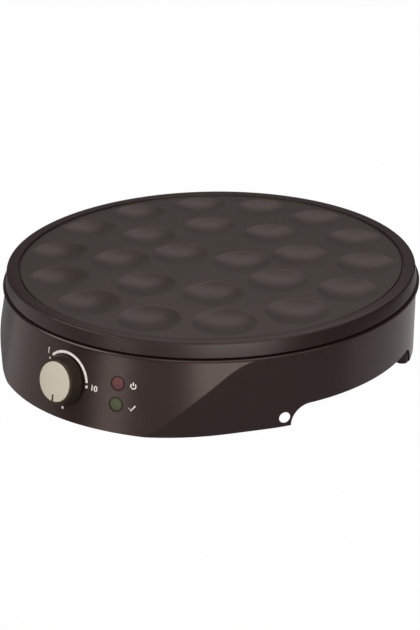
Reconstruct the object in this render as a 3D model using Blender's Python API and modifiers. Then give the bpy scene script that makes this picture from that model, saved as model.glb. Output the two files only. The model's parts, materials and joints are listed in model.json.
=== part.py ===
"""Mini pancake maker: a round tabletop appliance with a dimpled cooking plate.

The plate stands on spacers above a tray-shaped base, inside a round plastic
casing whose front flares out into a control panel with a knob and two lamps.
Metres, +Z up. The front looks along -Y, and the feet stand on z = 0. Azimuths
are in degrees from the front, positive towards +X.
"""
import math

import bmesh
import bpy
from mathutils import Matrix, Vector

# Fits shared by the whole appliance
SEAT_GAP = 0.0003
OVERRUN = 0.002
ROUND_STEPS = 96
MIDDLE_STEPS = 20
ROD_STEPS = 16
SMALL_STEPS = 12
TINY_STEPS = 8
MERGE = 0.000005
SHARP_ANGLE = 35
BOWL_SHARP_ANGLE = 13

# Casing: a round skirt with a lip at the top and a flared front panel
SKIRT_CLEARANCE = 0.0025
WALL_HEIGHT = 0.0515
WALL_THICKNESS = 0.0024
WALL_SETBACK = 0.0015
LIP_OVERHANG = 0.002
LIP_THICKNESS = 0.002
LIP_ROUNDING = 0.0005
COLLAR_INSET = 0.0135
COLLAR_DEPTH = 0.006
PANEL_FLARE = 0.0108
PANEL_TOP_ARC = 47.0
PANEL_BOTTOM_ARC = 22.7
PANEL_LEFT_TOP_ARC = 66
PANEL_LEFT_BOTTOM_ARC = 24
PANEL_BULGE = 0.0022
PANEL_BULGE_MIDDLE = -8
PANEL_BULGE_ARC = 33
PANEL_BLEND_ARC = 5
CREASE_MARGIN = 0.0012
SIDE_GAP_ARC = 25.4
SIDE_GAP_FORWARD = 0.0135
SIDE_GAP_HEIGHT = 0.014
SIDE_GAP_FILLET = 0.0119
SIDE_GAP_STEPS = 6
HANG_HOLE_ARC = 57.1
HANG_HOLE_HEIGHT = 0.0093
HANG_HOLE_RADIUS = 0.0039

# Cooking plate: a casting with shallow bowls and a rim that hides the gap
SHADOW_GAP = 0.0013
RIM_SKIRT = 0.0097
RIM_FLARE = 0.0016
RIM_WALL = 0.0024
RIM_ROUNDING = 0.0006
RIM_WIDTH = 0.0079
RIM_RISE = 0.001
RIM_STEP = 0.0006
FIELD_RADIUS = 0.1421
PLATE_THICKNESS = 0.007
BOWL_RADIUS = 0.0215
BOWL_DEPTH = 0.004
BOWL_STEPS = 18
BOWL_ARC_SHARES = (0, 0.5, 1)
BOWL_RING_SHARES = (0.809, 0.468, 0.171)
BOWL_RING_COUNTS = (14, 8, 2)
BOWL_RING_PHASES = (-8, -5, 107)

# Base tray, with a deeper bay behind the control panel, and its legs
BASE_ABOVE_GAP = 0.0005
BASE_THICKNESS = 0.002
BASE_CLEARANCE = 0.0006
BAY_HALF_WIDTH = 0.070
BAY_DEPTH = 0.0395
BAY_FLOOR_HEIGHT = 0.005
VENT_COUNT = 10
VENT_INSET = 0.050
VENT_LENGTH = 0.030
VENT_WIDTH = 0.003
LEG_INSET = 0.0235
LEG_AZIMUTHS = {"front_right": 45, "rear_right": 135, "rear_left": 225, "front_left": 315}
LEG_RADIUS = 0.010
FOOT_THICKNESS = 0.003
FOOT_ROUNDING = 0.0008
FOOT_PLUG_RADIUS = 0.0042
FOOT_PLUG_LENGTH = 0.006

# Screw columns inside the casing and the screws that hold the base to them
COLUMN_AZIMUTHS = (-150, -48, 48, 150)
COLUMN_RADIUS = 0.005
COLUMN_BITE = 0.001
COLUMN_HEIGHT = 0.015
BASE_SCREW_RADIUS = 0.0015
BASE_SCREW_LENGTH = 0.012
BASE_SCREW_HEAD_RADIUS = 0.0032
BASE_SCREW_HEAD = 0.0021

# Bolts and spacers that carry the plate above the base
POST_INSET = 0.016
POST_AZIMUTHS = (22.5, 142.5, 262.5)
POST_RADIUS = 0.005
BOLT_RADIUS = 0.002
BOLT_BITE = 0.0035
BOLT_HEAD_RADIUS = 0.004
BOLT_HEAD = 0.003

# Heat shield: a shallow dish under the heating element
SHIELD_DROP = 0.0102
SHIELD_THICKNESS = 0.0008
SHIELD_CLEARANCE = 0.004
SHIELD_EDGE_WIDTH = 0.005
SHIELD_RISE = 0.006
SHIELD_STEPS = 60
PASS_CLEARANCE = 0.002

# Tubular heating element, its ends and its clamps
ELEMENT_INSET = 0.0421
ELEMENT_RADIUS = 0.0033
ELEMENT_GAP_ARC = 12
ELEMENT_BEND = 0.009
ELEMENT_TAIL = 0.004
ELEMENT_STEPS = 40
BEND_STEPS = 4
TERMINAL_RADIUS = 0.0016
TERMINAL_LENGTH = 0.008
CLAMP_AZIMUTHS = (0, 120, 240)
CLAMP_INWARD = 0.013
CLAMP_OUTWARD = 0.005
CLAMP_WIDTH = 0.009
CLAMP_FIT = 0.0006
CLAMP_FLOOR = 0.0009
CLAMP_SCREW_OFFSET = 0.0085
CLAMP_SCREW_RADIUS = 0.0015
CLAMP_SCREW_HEAD_RADIUS = 0.0026
CLAMP_SCREW_HEAD = 0.0012

# Thermostat behind the panel, with its sensor under the plate
KNOB_HEIGHT = 0.0290
THERMOSTAT_WIDTH = 0.024
THERMOSTAT_HEIGHT = 0.013
THERMOSTAT_DEPTH = 0.016
THERMOSTAT_STANDOFF = 0.0009
BUSH_RADIUS = 0.00475
BUSH_REACH = 0.0036
NUT_RADIUS = 0.007
NUT_THICKNESS = 0.0028
SHAFT_RADIUS = 0.003
SHAFT_FIT = 0.0003
SHAFT_DEPTH = 0.012
SHAFT_REACH = 0.0064
BLADE_WIDTH = 0.0048
BLADE_THICKNESS = 0.0008
BLADE_LENGTH = 0.007
BLADE_OFFSET = 0.0075
SENSOR_RADIUS = 0.003
SENSOR_LENGTH = 0.040
SENSOR_Y = -0.030
FUSE_RADIUS = 0.0022
FUSE_LENGTH = 0.014
FUSE_Y = 0.030
CLIP_WIDTH = 0.006
CLIP_WALL = 0.0008
CLIP_WING = 0.007
CAPILLARY_RADIUS = 0.0009
CAPILLARY_PASS_SHARES = (0.4, -0.57)
CAPILLARY_TURN_SHARE = 0.13
FUSE_PASS_X = 0.0161

# Knob, drawn on its own axis, which stands square to the panel
KNOB_CLEARANCE = 0.0009
KNOB_DEPTH = 0.0092
KNOB_BASE_RADIUS = 0.0174
KNOB_FACE_RADIUS = 0.0147
KNOB_FOOT = 0.001
KNOB_EDGE = 0.0004
KNOB_STEPS = 32
KNOB_HOLLOW_RADIUS = 0.0092
KNOB_HOLLOW_DEPTH = 0.0030
CAP_RIM = 0.0007
CAP_THICKNESS = 0.0014
CAP_PROUD = 0.0003
POINTER_WIDTH = 0.0013
POINTER_LENGTH = 0.0047
SPRING_CLIP_WALL = 0.0006
SPRING_CLIP_LENGTH = 0.0016

# Indicator lamps in the panel
LAMP_PLACES = {"power": (15.5, 0.0358), "ready": (15.3, 0.0218)}
LAMP_HOLE_RADIUS = 0.0049
LENS_RADIUS = 0.0041
LENS_DOME = 0.0009
LENS_DEPTH = 0.0042
BEZEL_RADIUS = 0.0055
BEZEL_RISE = 0.0007
LAMP_BODY_DEPTH = 0.009
BULB_RADIUS = 0.0027

# Cord inlet at the back, and the wiring inside
INLET_HEIGHT = 0.036
INLET_BORE_RADIUS = 0.0036
GLAND_RADIUS = 0.0056
GLAND_FLANGE_RADIUS = 0.0082
GLAND_FLANGE = 0.0022
GLAND_INNER_LENGTH = 0.006
BLOCK_LENGTH = 0.034
BLOCK_WIDTH = 0.016
BLOCK_HEIGHT = 0.013
BLOCK_INSET = 0.0296
BLOCK_SOCKET_RADIUS = 0.0024
BLOCK_SOCKET_DEPTH = 0.006
BLOCK_PITCH = 0.010
WIRE_RADIUS = 0.0011
WIRE_CLEARANCE = 0.0005
WIRE_LEAD = 0.005
WIRE_STEP = 0.009
LIVE_RUN_SHARE = -0.24
NEUTRAL_RUN_SHARE = 0.12
SWITCHED_RUN_SHARE = 0.18
SWITCHED_SIDE_SHARE = 0.54
SWITCHED_BACK_SHARE = 0.36
ELEMENT_WIRE_SHARE = -0.36
EARTH_RUN_X = 0.020
EARTH_RUN_RISE = 0.010
EARTH_TAB_LENGTH = 0.014
EARTH_TAB_WIDTH = 0.0063
EARTH_TAB_SHARE = 0.357
EARTH_TAB_FORWARD = 0.062
EARTH_SCREW_RADIUS = 0.0015
EARTH_SCREW_HEAD_RADIUS = 0.003
EARTH_SCREW_HEAD = 0.0018

# Heights and radii that follow from the sizes above
wall_top = SKIRT_CLEARANCE + WALL_HEIGHT
lip_top = wall_top + LIP_THICKNESS
rim_bottom = lip_top + SHADOW_GAP
rim_top = rim_bottom + RIM_SKIRT
field_top = rim_top - RIM_RISE
plate_bottom = field_top - PLATE_THICKNESS
rim_radius = FIELD_RADIUS + RIM_WIDTH
wall_radius = rim_radius + WALL_SETBACK
lip_radius = wall_radius + LIP_OVERHANG
collar_radius = lip_radius - COLLAR_INSET
gap_top = SKIRT_CLEARANCE + SIDE_GAP_HEIGHT
base_bottom = gap_top + BASE_ABOVE_GAP
base_top = base_bottom + BASE_THICKNESS
shield_bottom = plate_bottom - SHIELD_DROP - SHIELD_THICKNESS
shield_top = shield_bottom + SHIELD_THICKNESS
element_height = plate_bottom - SEAT_GAP - ELEMENT_RADIUS
sensor_height = plate_bottom - SEAT_GAP - SENSOR_RADIUS
fuse_height = plate_bottom - SEAT_GAP - FUSE_RADIUS
element_circle = FIELD_RADIUS - ELEMENT_INSET
post_circle = element_circle - POST_INSET
vent_circle = element_circle - VENT_INSET
shield_radius = collar_radius - SHIELD_CLEARANCE
leg_circle = wall_radius - LEG_INSET
bay_rear = wall_radius - BAY_DEPTH
block_y = wall_radius - BLOCK_INSET
earth_tab_y = block_y - EARTH_TAB_FORWARD
earth_tab_x = post_circle * EARTH_TAB_SHARE
capillary_pass_x = post_circle * CAPILLARY_PASS_SHARES[0]
capillary_pass_y = post_circle * CAPILLARY_PASS_SHARES[1]


def polar(radius, azimuth, height=0):
    """A point at an azimuth in degrees from the front."""
    turn = math.radians(azimuth)
    return Vector((radius * math.sin(turn), -radius * math.cos(turn), height))


def crease_drop(azimuth):
    """How far below the wall's top the panel's crease runs at an azimuth."""
    top_arc, bottom_arc = PANEL_TOP_ARC, PANEL_BOTTOM_ARC
    if azimuth < 0:
        top_arc, bottom_arc = PANEL_LEFT_TOP_ARC, PANEL_LEFT_BOTTOM_ARC
    inside = top_arc - abs(azimuth)
    if inside < -PANEL_BLEND_ARC:
        return 0
    if inside < PANEL_BLEND_ARC:
        inside = (inside + PANEL_BLEND_ARC) ** 2 / (4 * PANEL_BLEND_ARC)
    return min(1, inside / (top_arc - bottom_arc)) * WALL_HEIGHT


def panel_slope(azimuth):
    """How far the panel leans out for each metre of drop, a little more near its middle."""
    off = min(1, abs(azimuth - PANEL_BULGE_MIDDLE) / PANEL_BULGE_ARC)
    return (PANEL_FLARE + PANEL_BULGE * math.cos(math.pi / 2 * off) ** 2) / WALL_HEIGHT


def panel_tilt(azimuth):
    """The panel's lean at an azimuth, in radians."""
    return math.atan(panel_slope(azimuth))


def flare(azimuth, height):
    """How far the wall stands out from the round skirt at a place on it."""
    return panel_slope(azimuth) * max(0, min(wall_top - height, crease_drop(azimuth)))


# The knob's face, where its axis leaves the panel, and the whole thing's reach
knob_radius = wall_radius + flare(0, KNOB_HEIGHT)
cap_top = KNOB_DEPTH + CAP_PROUD
cap_radius = KNOB_FACE_RADIUS - CAP_RIM
knob_tilt = panel_tilt(0)
front_reach = (knob_radius + cap_top * math.cos(knob_tilt)
               + KNOB_FACE_RADIUS * math.sin(knob_tilt))
back_reach = wall_radius + SEAT_GAP + GLAND_FLANGE
axis_y = (front_reach - back_reach) / 2


def clear_scene():
    """Empty the scene that the script is run in."""
    for item in list(bpy.data.objects):
        bpy.data.objects.remove(item, do_unlink=True)


clear_scene()
appliance = bpy.data.collections.new("mini_pancake_maker")
cutters = bpy.data.collections.new("cutters")
bpy.context.scene.collection.children.link(appliance)
bpy.context.scene.collection.children.link(cutters)

unit_axis = bpy.data.objects.new("unit_axis", None)
unit_axis.location = (0, axis_y, 0)
appliance.objects.link(unit_axis)


def material(name, colour, roughness, metallic=0):
    """A Principled material with one plain finish."""
    finish = bpy.data.materials.new(name)
    finish.use_nodes = True
    shader = finish.node_tree.nodes["Principled BSDF"]
    shader.inputs["Base Color"].default_value = (*colour, 1)
    shader.inputs["Roughness"].default_value = roughness
    shader.inputs["Metallic"].default_value = metallic
    finish.diffuse_color = (*colour, 1)
    return finish


def add(name, mesh, finish, frame=Matrix(), parent=unit_axis, collection=appliance):
    """Put a mesh in the scene as a named sub-part on its parent."""
    item = bpy.data.objects.new(name, mesh)
    collection.objects.link(item)
    item.parent = parent
    item.matrix_basis = frame
    if finish:
        item.data.materials.append(finish)
    return item


def evaluated_mesh(item):
    """The mesh of an object with its modifiers applied."""
    bpy.context.view_layer.update()
    view = bpy.context.evaluated_depsgraph_get()
    return bpy.data.meshes.new_from_object(item.evaluated_get(view))


def shade(mesh, sharp_angle=SHARP_ANGLE):
    """Smooth shading with sharp edges where the surface turns."""
    mesh.shade_smooth()
    mesh.set_sharp_from_angle(angle=math.radians(sharp_angle))
    return mesh


def cleaned(mesh, fill=False):
    """Weld a mesh, fill its open rims if asked, and turn its faces out."""
    work = bmesh.new()
    work.from_mesh(mesh)
    bmesh.ops.remove_doubles(work, verts=work.verts, dist=MERGE)
    if fill:
        bmesh.ops.holes_fill(work, edges=[edge for edge in work.edges if edge.is_boundary])
    bmesh.ops.recalc_face_normals(work, faces=work.faces)
    work.to_mesh(mesh)
    work.free()
    return mesh


def turned_mesh(profile, steps=ROUND_STEPS, closed=False, fill=False):
    """Turn a profile of (radius, height) points about Z with a Screw modifier."""
    mesh = bpy.data.meshes.new("profile")
    count = len(profile)
    edges = [(i, (i + 1) % count) for i in range(count if closed else count - 1)]
    mesh.from_pydata([(radius, 0, height) for radius, height in profile], edges, [])
    item = bpy.data.objects.new("profile", mesh)
    cutters.objects.link(item)
    screw = item.modifiers.new("turn", "SCREW")
    screw.axis = "Z"
    screw.steps = steps
    screw.render_steps = steps
    screw.use_merge_vertices = True
    screw.merge_threshold = MERGE
    result = cleaned(evaluated_mesh(item), fill)
    bpy.data.objects.remove(item)
    return result


def turned(name, profile, finish, frame=Matrix(), steps=ROUND_STEPS, parent=unit_axis, **ways):
    """A turned sub-part."""
    return add(name, shade(turned_mesh(profile, steps, **ways)), finish, frame, parent)


def rod_mesh(radius, low, high, sides=ROD_STEPS):
    """A round bar from one height to another."""
    work = bmesh.new()
    bmesh.ops.create_cone(
        work, cap_ends=True, segments=sides, radius1=radius, radius2=radius, depth=high - low,
        matrix=Matrix.Translation((0, 0, (high + low) / 2)))
    mesh = bpy.data.meshes.new("rod")
    work.to_mesh(mesh)
    work.free()
    return mesh


def box_mesh(low, high):
    """A box between two corners."""
    low, high = Vector(low), Vector(high)
    work = bmesh.new()
    stretch = Matrix.Diagonal((*(high - low), 1))
    bmesh.ops.create_cube(work, size=1, matrix=Matrix.Translation((low + high) / 2) @ stretch)
    mesh = bpy.data.meshes.new("box")
    work.to_mesh(mesh)
    work.free()
    return mesh


def add_copies(name, mesh, finish, frames, parent=unit_axis):
    """Separate numbered sub-parts that share one mesh."""
    for number, frame in enumerate(frames, 1):
        add(f"{name}_{number}", mesh, finish, frame, parent)


def combine(item, placed, operation="DIFFERENCE"):
    """Cut placed meshes out of a sub-part, or weld them to it."""
    group = bpy.data.collections.new(item.name + "_" + operation.lower())
    cutters.children.link(group)
    for number, (mesh, frame) in enumerate(placed):
        tool = add(f"{group.name}_{number}", mesh, None, frame, item.parent, group)
        tool.hide_render = True
        tool.display_type = "WIRE"
    change = item.modifiers.new(operation.lower(), "BOOLEAN")
    change.operation = operation
    change.solver = "EXACT"
    change.operand_type = "COLLECTION"
    change.collection = group
    result = evaluated_mesh(item)
    item.modifiers.clear()
    item.data = shade(result)
    return item


def tube(name, points, radius, finish, parent=unit_axis):
    """A round bar bent along points, closed at both ends."""
    line = bpy.data.curves.new(name, "CURVE")
    line.dimensions = "3D"
    line.bevel_depth = radius
    line.bevel_resolution = 2
    line.use_fill_caps = True
    spline = line.splines.new("POLY")
    spline.points.add(len(points) - 1)
    for place, point in zip(spline.points, points):
        place.co = (*point, 1)
    item = bpy.data.objects.new(name, line)
    cutters.objects.link(item)
    mesh = cleaned(evaluated_mesh(item))
    bpy.data.objects.remove(item)
    return add(name, shade(mesh), finish, Matrix(), parent)


def smooth_route(knots):
    """Points along a smooth curve through the knots of a wire."""
    knots = [Vector(knot) for knot in knots]
    runs = [(end - start).normalized() for start, end in zip(knots, knots[1:])]
    turns = [(before + after).normalized() for before, after in zip(runs, runs[1:])]
    headings = [runs[0], *turns, runs[-1]]
    points = []
    for start, end, leave, arrive in zip(knots, knots[1:], headings, headings[1:]):
        length = (end - start).length
        steps = max(1, round(length / WIRE_STEP))
        for step in range(steps):
            t = step / steps
            points.append(start * (1 + 2 * t) * (1 - t) ** 2 + leave * length * t * (1 - t) ** 2
                          + end * t ** 2 * (3 - 2 * t) - arrive * length * t ** 2 * (1 - t))
    return [*points, knots[-1]]


def upright(azimuth, radius, height=0):
    """A frame whose Z is up, turned and moved out to a place on a circle."""
    return Matrix.Translation(polar(radius, azimuth, height)) @ turn_to(azimuth)


def turn_to(azimuth):
    """A turn about Z that brings the front to an azimuth."""
    return Matrix.Rotation(math.radians(azimuth), 4, "Z")


def wall_frame(azimuth, height, tilt=0):
    """A frame on the wall's outer face: X along the wall, Y up it, Z out."""
    radius = wall_radius + flare(azimuth, height)
    lean = Matrix.Rotation(math.pi / 2 - tilt, 4, "X")
    return Matrix.Translation(polar(radius, azimuth, height)) @ turn_to(azimuth) @ lean


black_plastic = material("black_plastic", (0.030, 0.023, 0.022), 0.32)
knob_black = material("knob_black", (0.020, 0.017, 0.016), 0.38)
base_plastic = material("base_plastic", (0.022, 0.020, 0.020), 0.55)
plate_coating = material("plate_coating", (0.045, 0.041, 0.038), 0.5, 0.1)
cap_beige = material("cap_beige", (0.53, 0.49, 0.39), 0.42)
red_lens = material("red_lens", (0.16, 0.03, 0.03), 0.2)
green_lens = material("green_lens", (0.05, 0.10, 0.035), 0.2)
lamp_glass = material("lamp_glass", (0.8, 0.6, 0.5), 0.1)
steel = material("steel", (0.55, 0.55, 0.56), 0.35, 1)
aluminium = material("aluminium", (0.75, 0.75, 0.76), 0.4, 1)
brass = material("brass", (0.75, 0.58, 0.28), 0.35, 1)
rubber = material("rubber", (0.02, 0.02, 0.02), 0.85)
block_plastic = material("block_plastic", (0.75, 0.75, 0.72), 0.5)
wire_brown = material("wire_brown", (0.16, 0.07, 0.03), 0.6)
wire_blue = material("wire_blue", (0.04, 0.10, 0.35), 0.6)
wire_green = material("wire_green", (0.25, 0.40, 0.04), 0.6)


def bowl_cutter():
    """The ball-shaped bottom of one bowl, carried on past the plate's face."""
    ball = (BOWL_RADIUS ** 2 + BOWL_DEPTH ** 2) / (2 * BOWL_DEPTH)
    edge = math.asin(BOWL_RADIUS / ball)
    past = math.acos(1 - (BOWL_DEPTH + OVERRUN) / ball)
    angles = [past, *(edge * share for share in reversed(BOWL_ARC_SHARES))]
    arc = [(ball * math.sin(angle), ball * (1 - math.cos(angle)) - BOWL_DEPTH) for angle in angles]
    return turned_mesh([(0, arc[0][1]), *arc], BOWL_STEPS)


def bowl_places():
    """The frame of each bowl, ring by ring."""
    for share, count, phase in zip(BOWL_RING_SHARES, BOWL_RING_COUNTS, BOWL_RING_PHASES):
        for number in range(count):
            yield upright(phase + 360 * number / count, FIELD_RADIUS * share, field_top)


def make_cooking_plate():
    """The dimpled casting, with blind holes below for its four bolts."""
    skirt_radius = rim_radius + RIM_FLARE
    profile = [
        (FIELD_RADIUS, field_top),
        (FIELD_RADIUS + RIM_STEP, rim_top),
        (rim_radius - RIM_ROUNDING, rim_top),
        (rim_radius, rim_top - RIM_ROUNDING),
        (skirt_radius, rim_bottom),
        (skirt_radius - RIM_WALL, rim_bottom),
        (skirt_radius - RIM_WALL - RIM_STEP, plate_bottom),
    ]
    plate = turned("cooking_plate", profile, plate_coating, fill=True)
    cutter = bowl_cutter()
    tools = [(cutter, frame) for frame in bowl_places()]
    hole = rod_mesh(BOLT_RADIUS + SEAT_GAP, plate_bottom - OVERRUN,
                    plate_bottom + BOLT_BITE + SEAT_GAP, SMALL_STEPS)
    tools += [(hole, upright(azimuth, post_circle)) for azimuth in POST_AZIMUTHS]
    combine(plate, tools)
    shade(plate.data, BOWL_SHARP_ANGLE)


def make_posts():
    """Bolts from below the base into the plate, each through two spacers."""
    bore = BOLT_RADIUS + SEAT_GAP

    def spacer(low, high):
        return turned_mesh([(POST_RADIUS, high), (POST_RADIUS, low), (bore, low), (bore, high)],
                           SMALL_STEPS, closed=True)

    bolt = turned_mesh([
        (0, plate_bottom + BOLT_BITE), (BOLT_RADIUS, plate_bottom + BOLT_BITE),
        (BOLT_RADIUS, base_bottom - SEAT_GAP), (BOLT_HEAD_RADIUS, base_bottom - SEAT_GAP),
        (BOLT_HEAD_RADIUS, base_bottom - SEAT_GAP - BOLT_HEAD),
        (0, base_bottom - SEAT_GAP - BOLT_HEAD)], SMALL_STEPS)
    pieces = {
        "lower_spacer": (spacer(base_top + SEAT_GAP, shield_bottom - SEAT_GAP), aluminium),
        "upper_spacer": (spacer(shield_top + SEAT_GAP, plate_bottom - SEAT_GAP), aluminium),
        "plate_bolt": (bolt, steel),
    }
    for name, (mesh, finish) in pieces.items():
        add_copies(name, shade(mesh), finish,
                   [upright(azimuth, post_circle) for azimuth in POST_AZIMUTHS])


def element_end_azimuths():
    """Where the two ends of the heating element turn down, either side of the back."""
    return 180 - ELEMENT_GAP_ARC, -180 + ELEMENT_GAP_ARC


def element_end(azimuth):
    """The axis of one downward end of the heating element."""
    inwards = math.copysign(1, azimuth)
    sweep = math.degrees(ELEMENT_BEND / element_circle)
    return azimuth + inwards * sweep


def element_end_height():
    """The lower tip of the heating element's ends."""
    return element_height - ELEMENT_BEND - ELEMENT_TAIL


def make_heating_element():
    """A tubular ring under the plate whose two ends turn down at the back."""
    right, left = element_end_azimuths()

    def downward_bend(azimuth):
        outwards = math.copysign(1, azimuth)
        points = []
        for step in range(BEND_STEPS + 1):
            angle = math.pi / 2 * step / BEND_STEPS
            sweep = math.degrees(ELEMENT_BEND * math.sin(angle) / element_circle)
            drop = ELEMENT_BEND * (1 - math.cos(angle))
            points.append(polar(element_circle, azimuth + outwards * sweep, element_height - drop))
        tip = points[-1].copy()
        tip.z = element_end_height()
        return [*points, tip]

    sweep = [polar(element_circle, left + (right - left) * step / ELEMENT_STEPS, element_height)
             for step in range(1, ELEMENT_STEPS)]
    route = [*reversed(downward_bend(left)), *sweep, *downward_bend(right)]
    tube("heating_element", route, ELEMENT_RADIUS, steel)

    top = element_end_height() - SEAT_GAP
    pin = rod_mesh(TERMINAL_RADIUS, top - TERMINAL_LENGTH, top, TINY_STEPS)
    add_copies("element_terminal", shade(pin), brass,
               [upright(element_end(azimuth), element_circle) for azimuth in (right, left)])


def make_element_clamps():
    """Grooved blocks that hold the element up to the plate, each with its screw."""
    top = plate_bottom - SEAT_GAP
    low = element_height - ELEMENT_RADIUS - CLAMP_FIT - CLAMP_FLOOR
    half = CLAMP_WIDTH / 2
    hug = ELEMENT_RADIUS + CLAMP_FIT
    groove = rod_mesh(hug, -half - OVERRUN, half + OVERRUN)
    along = Matrix.Translation((0, 0, element_height)) @ Matrix.Rotation(math.pi / 2, 4, "Y")
    channel = box_mesh((-half - OVERRUN, -hug, element_height),
                       (half + OVERRUN, hug, top + OVERRUN))
    screw_hole = rod_mesh(CLAMP_SCREW_RADIUS + SEAT_GAP, low - OVERRUN, top + OVERRUN, TINY_STEPS)
    screw = shade(turned_mesh([
        (0, top - SEAT_GAP), (CLAMP_SCREW_RADIUS, top - SEAT_GAP),
        (CLAMP_SCREW_RADIUS, low - SEAT_GAP), (CLAMP_SCREW_HEAD_RADIUS, low - SEAT_GAP),
        (CLAMP_SCREW_HEAD_RADIUS, low - SEAT_GAP - CLAMP_SCREW_HEAD),
        (0, low - SEAT_GAP - CLAMP_SCREW_HEAD)], TINY_STEPS))
    for number, azimuth in enumerate(CLAMP_AZIMUTHS, 1):
        place = upright(azimuth, element_circle)
        spot = place @ Matrix.Translation((0, CLAMP_SCREW_OFFSET, 0))
        block = box_mesh((-half, -CLAMP_OUTWARD, low), (half, CLAMP_INWARD, top))
        clamp = add(f"element_clamp_{number}", block, aluminium, place)
        combine(clamp, [(groove, place @ along), (channel, place), (screw_hole, spot)])
        add(f"clamp_screw_{number}", screw, steel, spot)


def make_heat_shield():
    """A pressed dish with a raised edge, and holes for what passes through."""
    profile = [
        (shield_radius, shield_top + SHIELD_RISE),
        (shield_radius - SHIELD_EDGE_WIDTH, shield_bottom),
        (0, shield_bottom),
    ]
    mesh = turned_mesh(profile, SHIELD_STEPS)
    shield = add("heat_shield", mesh, aluminium)
    wall = shield.modifiers.new("wall", "SOLIDIFY")
    wall.thickness = SHIELD_THICKNESS
    wall.offset = -1
    wall.use_even_offset = True

    def drill(radius, sides=SMALL_STEPS):
        return rod_mesh(radius, shield_bottom - OVERRUN, shield_top + OVERRUN, sides)

    hole = drill(BOLT_RADIUS + SEAT_GAP)
    tools = [(hole, upright(azimuth, post_circle)) for azimuth in POST_AZIMUTHS]
    slot = drill(ELEMENT_RADIUS + PASS_CLEARANCE)
    tools += [(slot, upright(element_end(azimuth), element_circle))
              for azimuth in element_end_azimuths()]
    pass_hole = drill(CAPILLARY_RADIUS + PASS_CLEARANCE)
    tools += [(pass_hole, Matrix.Translation((x, y, 0)))
              for x, y in ((capillary_pass_x, capillary_pass_y),
                           (FUSE_PASS_X, FUSE_Y), (-FUSE_PASS_X, FUSE_Y))]
    screw_hole = drill(EARTH_SCREW_RADIUS + SEAT_GAP, TINY_STEPS)
    tools.append((screw_hole, Matrix.Translation((earth_tab_x, earth_tab_y, 0))))
    combine(shield, tools)


def clip_mesh(radius, height):
    """A strap bent over a small cylinder that lies along X under the plate."""
    low = height - radius - SEAT_GAP - CLIP_WALL
    top = plate_bottom - SEAT_GAP
    hug = radius + SEAT_GAP
    half = CLIP_WIDTH / 2
    strap = [
        box_mesh((-half, -hug - CLIP_WALL, low), (half, hug + CLIP_WALL, low + CLIP_WALL)),
        box_mesh((-half, -hug - CLIP_WALL, low), (half, -hug, top)),
        box_mesh((-half, hug, low), (half, hug + CLIP_WALL, top)),
        box_mesh((-half, -hug - CLIP_WING, top - CLIP_WALL), (half, -hug, top)),
        box_mesh((-half, hug, top - CLIP_WALL), (half, hug + CLIP_WING, top)),
    ]
    return strap


def make_clip(name, radius, height, y):
    """A strap clip under the plate, welded from its five straight runs."""
    place = Matrix.Translation((0, y, 0))
    first, *others = clip_mesh(radius, height)
    clip = add(name, first, steel, place)
    combine(clip, [(mesh, place) for mesh in others], "UNION")


def make_sensors():
    """The thermostat's bulb and the thermal fuse, clipped under the plate."""
    across = Matrix.Rotation(math.pi / 2, 4, "Y")
    bulb = rod_mesh(SENSOR_RADIUS, -SENSOR_LENGTH / 2, SENSOR_LENGTH / 2, SMALL_STEPS)
    add("sensor_bulb", shade(bulb), brass,
        Matrix.Translation((0, SENSOR_Y, sensor_height)) @ across)
    make_clip("sensor_clip", SENSOR_RADIUS, sensor_height, SENSOR_Y)
    fuse = rod_mesh(FUSE_RADIUS, -FUSE_LENGTH / 2, FUSE_LENGTH / 2, SMALL_STEPS)
    add("thermal_fuse", shade(fuse), block_plastic,
        Matrix.Translation((0, FUSE_Y, fuse_height)) @ across)
    make_clip("fuse_clip", FUSE_RADIUS, fuse_height, FUSE_Y)


def wall_profile():
    """The casing's section: lip, wall with its crease row, and inner collar."""
    crease_row = (wall_top + SKIRT_CLEARANCE) / 2
    inner = wall_radius - WALL_THICKNESS
    ceiling = lip_top - WALL_THICKNESS
    return [
        (collar_radius, lip_top),
        (lip_radius - LIP_ROUNDING, lip_top),
        (lip_radius, lip_top - LIP_ROUNDING),
        (lip_radius, wall_top + LIP_ROUNDING),
        (wall_radius, wall_top),
        (wall_radius, crease_row),
        (wall_radius, SKIRT_CLEARANCE),
        (inner, SKIRT_CLEARANCE),
        (inner, crease_row),
        (inner, ceiling),
        (collar_radius + WALL_THICKNESS, ceiling),
        (collar_radius + WALL_THICKNESS, lip_top - COLLAR_DEPTH),
        (collar_radius, lip_top - COLLAR_DEPTH),
    ], crease_row


def azimuth_of(point):
    """The azimuth of a point in degrees from the front."""
    return math.degrees(math.atan2(point.x, -point.y))


def push_out(mesh, from_radius, crease_row=None):
    """Move the wall's points out to the panel, and one row onto its crease."""
    highest = wall_top - CREASE_MARGIN
    lowest = SKIRT_CLEARANCE + CREASE_MARGIN
    for vertex in mesh.vertices:
        place = vertex.co
        radius = math.hypot(place.x, place.y)
        if radius < from_radius - MERGE or place.z > wall_top:
            continue
        azimuth = azimuth_of(place)
        if crease_row and abs(place.z - crease_row) < MERGE:
            place.z = min(highest, max(lowest, wall_top - crease_drop(azimuth)))
        stretch = (radius + flare(azimuth, place.z)) / radius
        place.x *= stretch
        place.y *= stretch


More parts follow.
